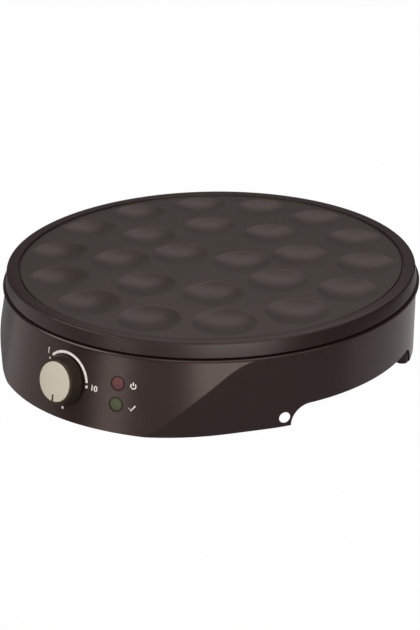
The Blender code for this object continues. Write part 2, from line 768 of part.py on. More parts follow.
def side_gap_cutter():
    """The outline of both side gaps, with rounded upper corners, pushed through."""
    half = wall_radius * math.sin(math.radians(SIDE_GAP_ARC))
    inner = half - SIDE_GAP_FILLET
    foot = SKIRT_CLEARANCE - OVERRUN
    corner = []
    for step in range(SIDE_GAP_STEPS + 1):
        angle = math.pi / 2 * step / SIDE_GAP_STEPS
        corner.append((inner + SIDE_GAP_FILLET * math.cos(angle),
                       SKIRT_CLEARANCE + SIDE_GAP_HEIGHT * math.sin(angle)))
    outline = [(half, foot), *corner, *((-y, z) for y, z in reversed(corner)), (-half, foot)]
    reach = wall_radius + LEG_RADIUS
    work = bmesh.new()
    rim = [work.verts.new((-reach, y - SIDE_GAP_FORWARD, z)) for y, z in outline]
    side = bmesh.ops.extrude_face_region(work, geom=[work.faces.new(rim)])
    far = [item for item in side["geom"] if isinstance(item, bmesh.types.BMVert)]
    bmesh.ops.translate(work, verts=far, vec=(2 * reach, 0, 0))
    mesh = bpy.data.meshes.new("side_gap")
    work.to_mesh(mesh)
    work.free()
    return cleaned(mesh)


def column_place(azimuth):
    """The frame of one screw column, which bites into the wall's inner face."""
    face = wall_radius - WALL_THICKNESS + flare(azimuth, base_top + COLUMN_HEIGHT)
    return upright(azimuth, face - COLUMN_RADIUS + COLUMN_BITE)


def make_casing():
    """The one-piece moulded casing."""
    profile, crease_row = wall_profile()
    mesh = turned_mesh(profile, closed=True)
    push_out(mesh, wall_radius - WALL_THICKNESS, crease_row)
    casing = add("casing_shell", cleaned(mesh), black_plastic)
    floor = base_top + SEAT_GAP
    column = rod_mesh(COLUMN_RADIUS, floor, floor + COLUMN_HEIGHT, SMALL_STEPS)
    combine(casing, [(column, column_place(azimuth)) for azimuth in COLUMN_AZIMUTHS], "UNION")

    tools = [(side_gap_cutter(), Matrix())]
    pilot = rod_mesh(BASE_SCREW_RADIUS + SEAT_GAP, floor - OVERRUN,
                     base_bottom + BASE_SCREW_LENGTH + SEAT_GAP, TINY_STEPS)
    tools += [(pilot, column_place(azimuth)) for azimuth in COLUMN_AZIMUTHS]
    deep = WALL_THICKNESS + OVERRUN
    hang_hole = rod_mesh(HANG_HOLE_RADIUS, -deep, OVERRUN, MIDDLE_STEPS)
    tools += [(hang_hole, wall_frame(azimuth, HANG_HOLE_HEIGHT))
              for azimuth in (-HANG_HOLE_ARC, HANG_HOLE_ARC)]
    lamp_hole = rod_mesh(LAMP_HOLE_RADIUS, -deep, OVERRUN, MIDDLE_STEPS)
    tools += [(lamp_hole, wall_frame(azimuth, height, panel_tilt(azimuth)))
              for azimuth, height in LAMP_PLACES.values()]
    bush_hole = rod_mesh(BUSH_RADIUS + SEAT_GAP, -deep, OVERRUN, MIDDLE_STEPS)
    tools.append((bush_hole, wall_frame(0, KNOB_HEIGHT, knob_tilt)))
    inlet_hole = rod_mesh(GLAND_RADIUS + SEAT_GAP, -deep, OVERRUN, MIDDLE_STEPS)
    tools.append((inlet_hole, wall_frame(180, INLET_HEIGHT)))
    combine(casing, tools)


def make_base():
    """The tray that closes the casing, with its bay, vents and legs."""
    radius = wall_radius - WALL_THICKNESS - BASE_CLEARANCE
    mesh = turned_mesh([(radius, base_top), (radius, base_bottom), (radius, BAY_FLOOR_HEIGHT)],
                       fill=True)
    push_out(mesh, radius)
    base = add("base_cover", mesh, base_plastic)

    far = wall_radius + PANEL_FLARE + PANEL_BULGE
    under = BAY_FLOOR_HEIGHT - OVERRUN
    inner_rear, inner_half = bay_rear + BASE_THICKNESS, BAY_HALF_WIDTH - BASE_THICKNESS
    tools = [
        (box_mesh((-far, -bay_rear, under), (far, far, base_bottom)), Matrix()),
        (box_mesh((-far, -far, under), (-BAY_HALF_WIDTH, far, base_bottom)), Matrix()),
        (box_mesh((BAY_HALF_WIDTH, -far, under), (far, far, base_bottom)), Matrix()),
        (box_mesh((-inner_half, -far, BAY_FLOOR_HEIGHT + BASE_THICKNESS),
                  (inner_half, -inner_rear, base_top + OVERRUN)), Matrix()),
    ]
    combine(base, tools)

    leg_bottom = FOOT_THICKNESS + SEAT_GAP
    leg = rod_mesh(LEG_RADIUS, leg_bottom, base_bottom + BASE_THICKNESS / 2, MIDDLE_STEPS)
    combine(base, [(leg, upright(azimuth, leg_circle)) for azimuth in LEG_AZIMUTHS.values()],
            "UNION")

    slot = box_mesh((-VENT_WIDTH / 2, -VENT_LENGTH / 2, base_bottom - OVERRUN),
                    (VENT_WIDTH / 2, VENT_LENGTH / 2, base_top + OVERRUN))
    holes = [(slot, upright(360 * number / VENT_COUNT, vent_circle)) for number in range(VENT_COUNT)]
    plug_hole = rod_mesh(FOOT_PLUG_RADIUS + SEAT_GAP, leg_bottom - OVERRUN,
                         leg_bottom + FOOT_PLUG_LENGTH + SEAT_GAP, SMALL_STEPS)
    holes += [(plug_hole, upright(azimuth, leg_circle)) for azimuth in LEG_AZIMUTHS.values()]
    bolt_hole = rod_mesh(BOLT_RADIUS + SEAT_GAP, base_bottom - OVERRUN, base_top + OVERRUN,
                         SMALL_STEPS)
    holes += [(bolt_hole, upright(azimuth, post_circle)) for azimuth in POST_AZIMUTHS]
    screw_hole = rod_mesh(BASE_SCREW_RADIUS + SEAT_GAP, base_bottom - OVERRUN,
                          base_top + OVERRUN, TINY_STEPS)
    holes += [(screw_hole, column_place(azimuth)) for azimuth in COLUMN_AZIMUTHS]
    combine(base, holes)


def make_base_screws():
    """The screws that hold the base to the casing's columns."""
    head_top = base_bottom - SEAT_GAP
    screw = turned_mesh([
        (0, base_bottom + BASE_SCREW_LENGTH), (BASE_SCREW_RADIUS, base_bottom + BASE_SCREW_LENGTH),
        (BASE_SCREW_RADIUS, head_top), (BASE_SCREW_HEAD_RADIUS, head_top),
        (BASE_SCREW_HEAD_RADIUS, head_top - BASE_SCREW_HEAD / 2),
        (BASE_SCREW_RADIUS, head_top - BASE_SCREW_HEAD), (0, head_top - BASE_SCREW_HEAD)],
        TINY_STEPS)
    add_copies("base_screw", shade(screw), steel,
               [column_place(azimuth) for azimuth in COLUMN_AZIMUTHS])


def make_feet():
    """Rubber feet, each pushed into its leg by a plug."""
    top = FOOT_THICKNESS
    profile = [
        (0, top + FOOT_PLUG_LENGTH), (FOOT_PLUG_RADIUS, top + FOOT_PLUG_LENGTH),
        (FOOT_PLUG_RADIUS, top), (LEG_RADIUS, top), (LEG_RADIUS, FOOT_ROUNDING),
        (LEG_RADIUS - FOOT_ROUNDING, 0), (0, 0),
    ]
    for corner, azimuth in LEG_AZIMUTHS.items():
        turned("foot_" + corner, profile, rubber, upright(azimuth, leg_circle), MIDDLE_STEPS)


def make_thermostat():
    """The thermostat behind the panel, its bush through it and its shaft."""
    axis = bpy.data.objects.new("knob_axis", None)
    appliance.objects.link(axis)
    axis.parent = unit_axis
    axis.matrix_basis = wall_frame(0, KNOB_HEIGHT, knob_tilt)

    front = -WALL_THICKNESS - THERMOSTAT_STANDOFF
    back = front - THERMOSTAT_DEPTH
    body = add("thermostat_body", box_mesh(
        (-THERMOSTAT_WIDTH / 2, -THERMOSTAT_HEIGHT / 2, back),
        (THERMOSTAT_WIDTH / 2, THERMOSTAT_HEIGHT / 2, front)), block_plastic, parent=axis)
    bush = rod_mesh(BUSH_RADIUS, front - OVERRUN, BUSH_REACH, MIDDLE_STEPS)
    combine(body, [(bush, Matrix())], "UNION")
    bore = rod_mesh(SHAFT_RADIUS + SHAFT_FIT, -SHAFT_DEPTH, BUSH_REACH + OVERRUN)
    combine(body, [(bore, Matrix())])

    nut_top = SEAT_GAP + NUT_THICKNESS
    nut = add("thermostat_nut", rod_mesh(NUT_RADIUS, SEAT_GAP, nut_top, 6), steel, parent=axis)
    thread = rod_mesh(BUSH_RADIUS + SEAT_GAP, -OVERRUN, nut_top + OVERRUN, MIDDLE_STEPS)
    combine(nut, [(thread, Matrix())])
    add("thermostat_shaft", shade(rod_mesh(SHAFT_RADIUS, SEAT_GAP - SHAFT_DEPTH, SHAFT_REACH)),
        steel, parent=axis)

    blade = box_mesh((-BLADE_WIDTH / 2, -BLADE_THICKNESS / 2, back - SEAT_GAP - BLADE_LENGTH),
                     (BLADE_WIDTH / 2, BLADE_THICKNESS / 2, back - SEAT_GAP))
    add_copies("thermostat_terminal", blade, brass,
               [Matrix.Translation((side * BLADE_OFFSET, 0, 0)) for side in (-1, 1)], axis)
    return axis


def make_knob(axis):
    """The knob with its face plate, pointer and the clip that grips the shaft."""
    bore = SHAFT_RADIUS + SHAFT_FIT
    hollow_top = KNOB_CLEARANCE + KNOB_HOLLOW_DEPTH
    bore_top = SHAFT_REACH + SEAT_GAP
    seat = cap_top - CAP_THICKNESS - SEAT_GAP
    grip = bore + SPRING_CLIP_WALL + SEAT_GAP
    grip_top = hollow_top + SPRING_CLIP_LENGTH + SEAT_GAP
    pocket = cap_radius + SEAT_GAP
    profile = [
        (0, seat), (pocket, seat), (pocket, KNOB_DEPTH), (KNOB_FACE_RADIUS, KNOB_DEPTH - KNOB_EDGE),
        (KNOB_BASE_RADIUS, KNOB_CLEARANCE + KNOB_FOOT), (KNOB_BASE_RADIUS, KNOB_CLEARANCE),
        (KNOB_HOLLOW_RADIUS, KNOB_CLEARANCE), (KNOB_HOLLOW_RADIUS, hollow_top),
        (grip, hollow_top), (grip, grip_top), (bore, grip_top), (bore, bore_top), (0, bore_top),
    ]
    turned("knob_body", profile, knob_black, steps=KNOB_STEPS, parent=axis)

    cap = turned("knob_cap", [
        (0, cap_top), (cap_radius - KNOB_EDGE, cap_top), (cap_radius, cap_top - KNOB_EDGE),
        (cap_radius, cap_top - CAP_THICKNESS), (0, cap_top - CAP_THICKNESS)],
        cap_beige, steps=KNOB_STEPS, parent=axis)
    half = POINTER_WIDTH / 2
    start = cap_radius - POINTER_LENGTH
    slot = box_mesh((-half - SEAT_GAP, -cap_radius - OVERRUN, seat - OVERRUN),
                    (half + SEAT_GAP, -start + SEAT_GAP, cap_top + OVERRUN))
    combine(cap, [(slot, Matrix())])
    pointer = box_mesh((-half, -cap_radius + KNOB_EDGE, seat + SEAT_GAP), (half, -start, cap_top))
    add("knob_pointer", pointer, knob_black, parent=axis)

    clip_inner = SHAFT_RADIUS + SEAT_GAP
    turned("knob_clip", [
        (clip_inner + SPRING_CLIP_WALL, grip_top - SEAT_GAP), (clip_inner + SPRING_CLIP_WALL,
                                                               hollow_top),
        (clip_inner, hollow_top), (clip_inner, grip_top - SEAT_GAP)],
        steel, steps=ROD_STEPS, parent=axis, closed=True)


def make_lamps():
    """Two indicator lamps, each a lens and a bulb in a holder."""
    inner = LENS_RADIUS + SEAT_GAP
    sleeve = LAMP_HOLE_RADIUS - SEAT_GAP
    shelf = -LENS_DEPTH - SEAT_GAP
    bulb_bore = BULB_RADIUS + SEAT_GAP
    bezel = [
        (inner, BEZEL_RISE + SEAT_GAP), (BEZEL_RADIUS, BEZEL_RISE), (BEZEL_RADIUS, SEAT_GAP),
        (sleeve, SEAT_GAP), (sleeve, -LAMP_BODY_DEPTH), (bulb_bore, -LAMP_BODY_DEPTH),
        (bulb_bore, shelf), (inner, shelf),
    ]
    lens = [
        (0, LENS_DOME - SEAT_GAP), (LENS_RADIUS / 2, LENS_DOME / 2), (LENS_RADIUS, -LENS_DOME),
        (LENS_RADIUS, -LENS_DEPTH), (0, -LENS_DEPTH),
    ]
    bulb = [
        (0, shelf), (BULB_RADIUS / 2, shelf), (BULB_RADIUS, shelf - BULB_RADIUS / 2),
        (BULB_RADIUS, -LAMP_BODY_DEPTH), (0, -LAMP_BODY_DEPTH),
    ]
    colours = {"power": red_lens, "ready": green_lens}
    for name, (azimuth, height) in LAMP_PLACES.items():
        frame = wall_frame(azimuth, height, panel_tilt(azimuth))
        turned(name + "_lamp_holder", bezel, knob_black, frame, ROD_STEPS, closed=True)
        turned(name + "_lamp_lens", lens, colours[name], frame, ROD_STEPS)
        turned(name + "_lamp_bulb", bulb, lamp_glass, frame, SMALL_STEPS)


def make_inlet():
    """The snap-in bush that the supply cord would enter by."""
    frame = wall_frame(180, INLET_HEIGHT)
    out = SEAT_GAP + GLAND_FLANGE
    inside = -WALL_THICKNESS - GLAND_INNER_LENGTH
    turned("cord_gland", [
        (INLET_BORE_RADIUS, out), (GLAND_FLANGE_RADIUS - GLAND_FLANGE / 2, out),
        (GLAND_FLANGE_RADIUS, SEAT_GAP + GLAND_FLANGE / 2), (GLAND_FLANGE_RADIUS, SEAT_GAP),
        (GLAND_RADIUS, SEAT_GAP), (GLAND_RADIUS, inside), (INLET_BORE_RADIUS, inside)],
        base_plastic, frame, MIDDLE_STEPS, closed=True)


def make_wiring():
    """The terminal block, the earth tab and the wires between the parts."""
    floor = base_top + SEAT_GAP
    half_length, half_width = BLOCK_LENGTH / 2, BLOCK_WIDTH / 2
    top = floor + BLOCK_HEIGHT
    block = add("terminal_block", box_mesh((-half_length, block_y - half_width, floor),
                                           (half_length, block_y + half_width, top)), block_plastic)
    socket = rod_mesh(BLOCK_SOCKET_RADIUS, top - BLOCK_SOCKET_DEPTH, top + OVERRUN, SMALL_STEPS)
    combine(block, [(socket, Matrix.Translation((number * BLOCK_PITCH, block_y, 0)))
                    for number in (-1, 0, 1)])

    tab_top = shield_bottom - SEAT_GAP
    tab_low = tab_top - BLADE_THICKNESS
    tab = add("earth_tab", box_mesh(
        (earth_tab_x - EARTH_TAB_WIDTH / 2, earth_tab_y - EARTH_TAB_WIDTH / 2, tab_low),
        (earth_tab_x + EARTH_TAB_WIDTH / 2, earth_tab_y - EARTH_TAB_WIDTH / 2 + EARTH_TAB_LENGTH,
         tab_top)), brass)
    place = Matrix.Translation((earth_tab_x, earth_tab_y, 0))
    hole = rod_mesh(EARTH_SCREW_RADIUS + SEAT_GAP, tab_low - OVERRUN, tab_top + OVERRUN,
                    TINY_STEPS)
    combine(tab, [(hole, place)])
    head = tab_low - SEAT_GAP
    turned("earth_screw", [
        (0, shield_top), (EARTH_SCREW_RADIUS, shield_top), (EARTH_SCREW_RADIUS, head),
        (EARTH_SCREW_HEAD_RADIUS, head), (EARTH_SCREW_HEAD_RADIUS, head - EARTH_SCREW_HEAD),
        (0, head - EARTH_SCREW_HEAD)], steel, place, TINY_STEPS)
    make_wires(floor, tab_low)


def lead(end, way):
    """The end of a wire: a short straight run that leaves its terminal."""
    way = Vector(way).normalized() * WIRE_LEAD
    return [Vector(end), Vector(end) + way / 2, Vector(end) + way]


def through_shield(x, y):
    """Three points of a wire that goes straight up through the heat shield."""
    step = Vector((0, 0, WIRE_LEAD / 2))
    middle = Vector((x, y, (shield_bottom + shield_top) / 2))
    return [middle - step, middle, middle + step]


def make_wires(floor, tab_low):
    """Insulated wires, each a smooth route from one terminal to another."""
    run = floor + BLOCK_HEIGHT / 2
    low_run = floor + WIRE_LEAD
    lowest_run = floor + WIRE_LEAD / 2
    face = block_y - BLOCK_WIDTH / 2 - WIRE_CLEARANCE
    back, down, side = Vector((0, -1, 0)), Vector((0, 0, -1)), Vector((1, 0, 0))
    knob = wall_frame(0, KNOB_HEIGHT, knob_tilt)
    inwards = knob.to_3x3() @ Vector((0, 0, -1))
    body_back = -WALL_THICKNESS - THERMOSTAT_STANDOFF - THERMOSTAT_DEPTH
    blade_tip = body_back - SEAT_GAP - BLADE_LENGTH - WIRE_CLEARANCE
    blade_left, blade_right = (lead(knob @ Vector((x, 0, blade_tip)), inwards)
                               for x in (-BLADE_OFFSET, BLADE_OFFSET))
    pin_tip = element_end_height() - TERMINAL_LENGTH - SEAT_GAP - WIRE_CLEARANCE
    pin_right, pin_left = (lead(polar(element_circle, element_end(azimuth), pin_tip), down)
                           for azimuth in element_end_azimuths())
    fuse_x = FUSE_LENGTH / 2 + WIRE_CLEARANCE
    fuse_right = lead((fuse_x, FUSE_Y, fuse_height), side)
    fuse_left = lead((-fuse_x, FUSE_Y, fuse_height), -side)
    tab_end = earth_tab_y - EARTH_TAB_WIDTH / 2 + EARTH_TAB_LENGTH + WIRE_CLEARANCE
    routes = {
        "wire_live": (wire_brown, [
            *lead((-BLOCK_PITCH, face, run), back),
            (post_circle * LIVE_RUN_SHARE, element_circle, lowest_run),
            (post_circle * LIVE_RUN_SHARE, post_circle / 2, lowest_run),
            (post_circle * LIVE_RUN_SHARE, -post_circle / 2, low_run), *reversed(blade_left)]),
        "wire_switched": (wire_brown, [
            *blade_right, (post_circle * SWITCHED_RUN_SHARE, -post_circle / 2, low_run),
            (post_circle * SWITCHED_SIDE_SHARE, 0, low_run),
            (post_circle * SWITCHED_BACK_SHARE, post_circle, low_run), *reversed(pin_right)]),
        "wire_neutral": (wire_blue, [
            *lead((0, face, run), back),
            (post_circle * NEUTRAL_RUN_SHARE, post_circle / 2, run),
            *through_shield(FUSE_PASS_X, FUSE_Y), *reversed(fuse_right)]),
        "wire_element": (wire_blue, [
            *fuse_left, *reversed(through_shield(-FUSE_PASS_X, FUSE_Y)),
            (post_circle * ELEMENT_WIRE_SHARE, (FUSE_Y + element_circle) / 2, run + WIRE_LEAD),
            *reversed(pin_left)]),
        "wire_earth": (wire_green, [
            *lead((BLOCK_PITCH, face, run), back),
            (EARTH_RUN_X, face - EARTH_RUN_RISE, run + EARTH_RUN_RISE),
            *reversed(lead((earth_tab_x, tab_end, tab_low), -back))]),
    }
    for name, (finish, knots) in routes.items():
        tube(name, smooth_route(knots), WIRE_RADIUS, finish)

    bulb = lead((SENSOR_LENGTH / 2 + WIRE_CLEARANCE, SENSOR_Y, sensor_height), side)
    tube("capillary_tube", smooth_route([
        *lead(knob @ Vector((0, 0, body_back - WIRE_CLEARANCE)), inwards),
        (post_circle * CAPILLARY_TURN_SHARE, -post_circle, run + WIRE_LEAD),
        *through_shield(capillary_pass_x, capillary_pass_y),
        *reversed(bulb)]), CAPILLARY_RADIUS, brass)


make_cooking_plate()
make_posts()
make_heating_element()
make_element_clamps()
make_heat_shield()
make_sensors()
make_casing()
make_base()
make_base_screws()
make_feet()
make_knob(make_thermostat())
make_lamps()
make_inlet()
make_wiring()
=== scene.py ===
# %% [markdown]
# # A mini pancake maker
#
# The appliance is a round dark casing with a dimpled cooking plate on top. A panel that flares out at the
# front carries a knob and two lamps. What shows is then modelled again with softer edges and a real
# finish, and lit for a picture. The parts inside keep the model's meshes and only get finishes.

# %% Load the frame
import math

import bmesh
import bpy
from mathutils import Matrix, Vector
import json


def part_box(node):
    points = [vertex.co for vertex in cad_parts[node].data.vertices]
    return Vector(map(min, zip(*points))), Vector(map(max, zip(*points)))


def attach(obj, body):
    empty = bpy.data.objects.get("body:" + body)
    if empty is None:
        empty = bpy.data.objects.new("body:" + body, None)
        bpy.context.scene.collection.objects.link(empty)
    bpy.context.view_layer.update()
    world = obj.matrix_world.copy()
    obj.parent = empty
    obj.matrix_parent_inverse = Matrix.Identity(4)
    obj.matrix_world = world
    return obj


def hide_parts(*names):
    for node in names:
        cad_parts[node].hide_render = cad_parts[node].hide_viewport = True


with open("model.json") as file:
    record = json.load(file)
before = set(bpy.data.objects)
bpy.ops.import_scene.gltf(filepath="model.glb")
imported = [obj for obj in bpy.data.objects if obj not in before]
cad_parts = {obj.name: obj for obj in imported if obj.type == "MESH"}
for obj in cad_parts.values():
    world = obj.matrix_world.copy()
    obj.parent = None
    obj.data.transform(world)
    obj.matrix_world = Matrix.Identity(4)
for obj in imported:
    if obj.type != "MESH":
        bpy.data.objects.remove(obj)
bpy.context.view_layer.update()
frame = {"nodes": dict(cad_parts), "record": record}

# %% [markdown]
# The main sizes are read off the frame, so that a change of the model carries over. The round parts share
# one upright axis, which is a little behind the origin because the knob reaches out at the front.

# %% Sizes that the frame gives
MM_PER_M = 1000

plate_low, plate_high = (Vector(corner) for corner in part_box("cooking_plate"))
casing_low, casing_high = (Vector(corner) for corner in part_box("casing_shell"))
skirt_radius = (plate_high.x - plate_low.x) / 2
lip_radius = (casing_high.x - casing_low.x) / 2
axis_y = (plate_high.y + plate_low.y) / 2
rim_top, rim_bottom = plate_high.z, plate_low.z
lip_top, casing_bottom = casing_high.z, casing_low.z
print(f"axis at y {axis_y:.4f}, skirt radius {skirt_radius:.4f}, lip radius {lip_radius:.4f}")

# %% [markdown]
# Places round the appliance are given by an azimuth, in degrees from the front, because everything on it is
# laid out on circles. Positive azimuths are on the right. One function turns an azimuth into a direction,
# and it serves the camera, the lamps, the bowls and the holes alike.

# %% Directions
HALF_TURN = 180
FULL_TURN = 360


def towards(azimuth, elevation=0):
    """The direction at an azimuth from the front and an elevation, both in degrees."""
    side, rise = math.radians(azimuth), math.radians(elevation)
    flat = math.cos(rise)
    return Vector((math.sin(side) * flat, -math.cos(side) * flat, math.sin(rise)))


print("the rear is towards", tuple(round(value, 3) for value in towards(HALF_TURN)))

# %% [markdown]
# ## Camera
#
# The camera stands to the right of the front and looks down on the plate. A distance and two angles give
# its place, because angles can be read off the plate's ellipse. A small roll turns the picture as in the
# photograph, and a shift of the lens puts the appliance in its place.

# %% Camera
PHOTO_LONG_SIDE = 630
CAMERA_DISTANCE = 1.0
CAMERA_AZIMUTH = 39
CAMERA_ELEVATION = 23.38
CAMERA_ROLL = -0.9435
CAMERA_LENS = 76.1
SENSOR_SIDE = 36
TARGET_HEIGHT = 0.035
PIXELS_RIGHT = -1.34
PIXELS_UP = -18.66

target = Vector((0, axis_y, TARGET_HEIGHT))
backwards = towards(CAMERA_AZIMUTH, CAMERA_ELEVATION)
roll = Matrix.Rotation(math.radians(CAMERA_ROLL), 3, "Z")
bpy.ops.object.camera_add(location=target + CAMERA_DISTANCE * backwards)
camera = bpy.context.active_object
camera.name = "photo_camera"
camera.rotation_euler = (backwards.to_track_quat("Z", "Y").to_matrix() @ roll).to_euler()
camera.data.lens = CAMERA_LENS
camera.data.sensor_width = SENSOR_SIDE
camera.data.shift_x = PIXELS_RIGHT / PHOTO_LONG_SIDE
camera.data.shift_y = PIXELS_UP / PHOTO_LONG_SIDE
bpy.context.scene.camera = camera
print("camera at", tuple(round(value, 3) for value in camera.location))

# %% [markdown]
# ## Shader maths
#
# A finish is easiest to read as a sum. A signal wraps one output socket, and each sign between signals adds
# a Math node. Every other node comes from one method, which takes its kind, its settings and its inputs.
# The same method serves materials and the world, since both hold a tree of nodes.

# %% A small language for node trees
class Signal:
    """A value in a tree: arithmetic on it adds Math nodes."""

    def __init__(self, owner, socket):
        self.owner = owner
        self.socket = socket

    def math(self, operation, *others):
        """A Math node that works on this value and on others."""
        return self.owner.node("ShaderNodeMath", {"operation": operation}, dict(enumerate((self, *others))))

    def __add__(self, other):
        return self.math("ADD", other)

    def __sub__(self, other):
        return self.math("SUBTRACT", other)

    def __rsub__(self, other):
        return (self * -1) + other

    def __mul__(self, other):
        return self.math("MULTIPLY", other)

    __radd__ = __add__
    __rmul__ = __mul__

    def clamped(self):
        """The value kept between 0 and 1."""
        return self.math("MAXIMUM", 0).math("MINIMUM", 1)


class NodeTree:
    """A tree of nodes, filled by one method."""

    def __init__(self, tree):
        self.tree = tree

    def node(self, kind, settings=None, inputs=None, output=0):
        """Add a node with its settings and its inputs, and return the signal of one output."""
        made = self.tree.nodes.new(kind)
        for name, value in (settings or {}).items():
            setattr(made, name, value)
        for name, value in (inputs or {}).items():
            self.feed(made.inputs[name], value)
        return Signal(self, made.outputs[output])

    def feed(self, socket, value):
        """Link a signal to a socket, or write a plain value on it."""
        if isinstance(value, Signal):
            self.tree.links.new(value.socket, socket)
        else:
            socket.default_value = value


class Finish(NodeTree):
    """One material: a Principled shader and the nodes that feed it."""

    def __init__(self, name, **constants):
        self.material = bpy.data.materials.new(name)
        self.material.use_nodes = True
        super().__init__(self.material.node_tree)
        self.shader = self.tree.nodes["Principled BSDF"]
        self.set(**constants)

    def set(self, **inputs):
        """Feed inputs of the shader, each named in small letters with underscores."""
        for name, value in inputs.items():
            self.feed(self.shader.inputs[name.replace("_", " ").title().replace("Ior", "IOR")], value)


def rgb(red, green, blue):
    """A colour with full cover."""
    return (red, green, blue, 1)


print("finishes are made of", Signal.__name__, "and", Finish.__name__)

# %% [markdown]
# ## Finishes
#
# Real surfaces vary a little everywhere: in moulded plastic the gloss drifts and the face has a faint
# grain, and a sprayed coating has a fine orange peel. A picture could be wrapped round each piece, but two
# noises in the part's own space need no seams. The broad one moves colour and gloss, and the fine one is
# the grain.

# %% Helpers for surface detail
# a Mix node has sockets for each kind of data, and these are the numbers of its colour sockets
MIX_FIRST, MIX_SECOND, MIX_RESULT = 6, 7, 2
DRIFT_SCALE = 38
DRIFT_DETAIL = 3
DRIFT_CONTRAST = 1.6
DRIFT_OFFSET = 0.3
GRAIN_DETAIL = 2
DRIFT_ON_ROUGHNESS = 0.06
GRAIN_ON_ROUGHNESS = 0.02
ROUGHNESS_OFFSET = 0.04


def noise(finish, scale, detail):
    """A noise in object space, from 0 to 1, with features of about 1 / scale metres."""
    spot = finish.node("ShaderNodeTexCoord", output="Object")
    return finish.node("ShaderNodeTexNoise", inputs={"Vector": spot, "Scale": scale, "Detail": detail})


def blend(finish, share, first, second):
    """A colour between two, by a share from 0 to 1."""
    inputs = {"Factor": share, MIX_FIRST: first, MIX_SECOND: second}
    return finish.node("ShaderNodeMix", {"data_type": "RGBA"}, inputs, MIX_RESULT)


def relief(finish, height, depth):
    """Bumps of a depth in metres."""
    return finish.node("ShaderNodeBump", inputs={"Height": height, "Distance": depth, "Strength": 1})


def beyond(finish, radius, middle_y):
    """1 further than a radius from the upright axis, else 0."""
    spot = finish.node("ShaderNodeTexCoord", output="Object")
    x, y = (finish.node("ShaderNodeSeparateXYZ", inputs={"Vector": spot}, output=name) for name in "XY")
    off = y - middle_y
    return (x * x + off * off).math("GREATER_THAN", radius ** 2)


def plain_finish(name, row, tint=None, **constants):
    """A finish with a drift and a grain, and with a second colour where a tint asks for it."""
    darker, lighter, roughness, grain_scale, grain_depth, specular, metallic = row
    finish = Finish(name, specular_ior_level=specular, metallic=metallic, **constants)
    drift = noise(finish, DRIFT_SCALE, DRIFT_DETAIL)
    grain = noise(finish, grain_scale, GRAIN_DETAIL)
    share = (drift * DRIFT_CONTRAST - DRIFT_OFFSET).clamped()
    colour = blend(finish, share, rgb(*darker), rgb(*lighter))
    if tint:
        tint_share, tint_colour = tint
        colour = blend(finish, tint_share(finish), colour, tint_colour)
    wander = drift * DRIFT_ON_ROUGHNESS + grain * GRAIN_ON_ROUGHNESS
    finish.set(base_color=colour,
               roughness=wander + (roughness - ROUGHNESS_OFFSET),
               normal=relief(finish, grain, grain_depth))
    return finish.material


print("a finish drifts over about", round(MM_PER_M / DRIFT_SCALE), "mm")

# %% [markdown]
# The plate's coating is a little browner on the rim and the skirt than on the field. Two materials would
# need a cut in the casting, so one finish asks how far a point is from the axis and changes its colour
# there. The rim's two radii are therefore worked out before the finishes.

# %% Radii of the rim
RIM_FLARE = 0.0016
RIM_WIDTH = 0.0079
RIM_COLOUR = rgb(0.0225, 0.0125, 0.0122)

rim_radius = skirt_radius - RIM_FLARE
field_radius = rim_radius - RIM_WIDTH


def on_rim(finish):
    """1 on the raised rim and the skirt of the plate, else 0."""
    return beyond(finish, field_radius, axis_y)


print(f"the field of the plate has a radius of {field_radius:.4f}")

# %% [markdown]
# Each finish is one row of a table, so that the dark plastics can be compared and set side by side. The
# casing is a glossy red-brown plastic, the knob a softer one, and the coating lies between them. The
# metals, the terminal block and the wires are inside, for anyone who takes the casing off.

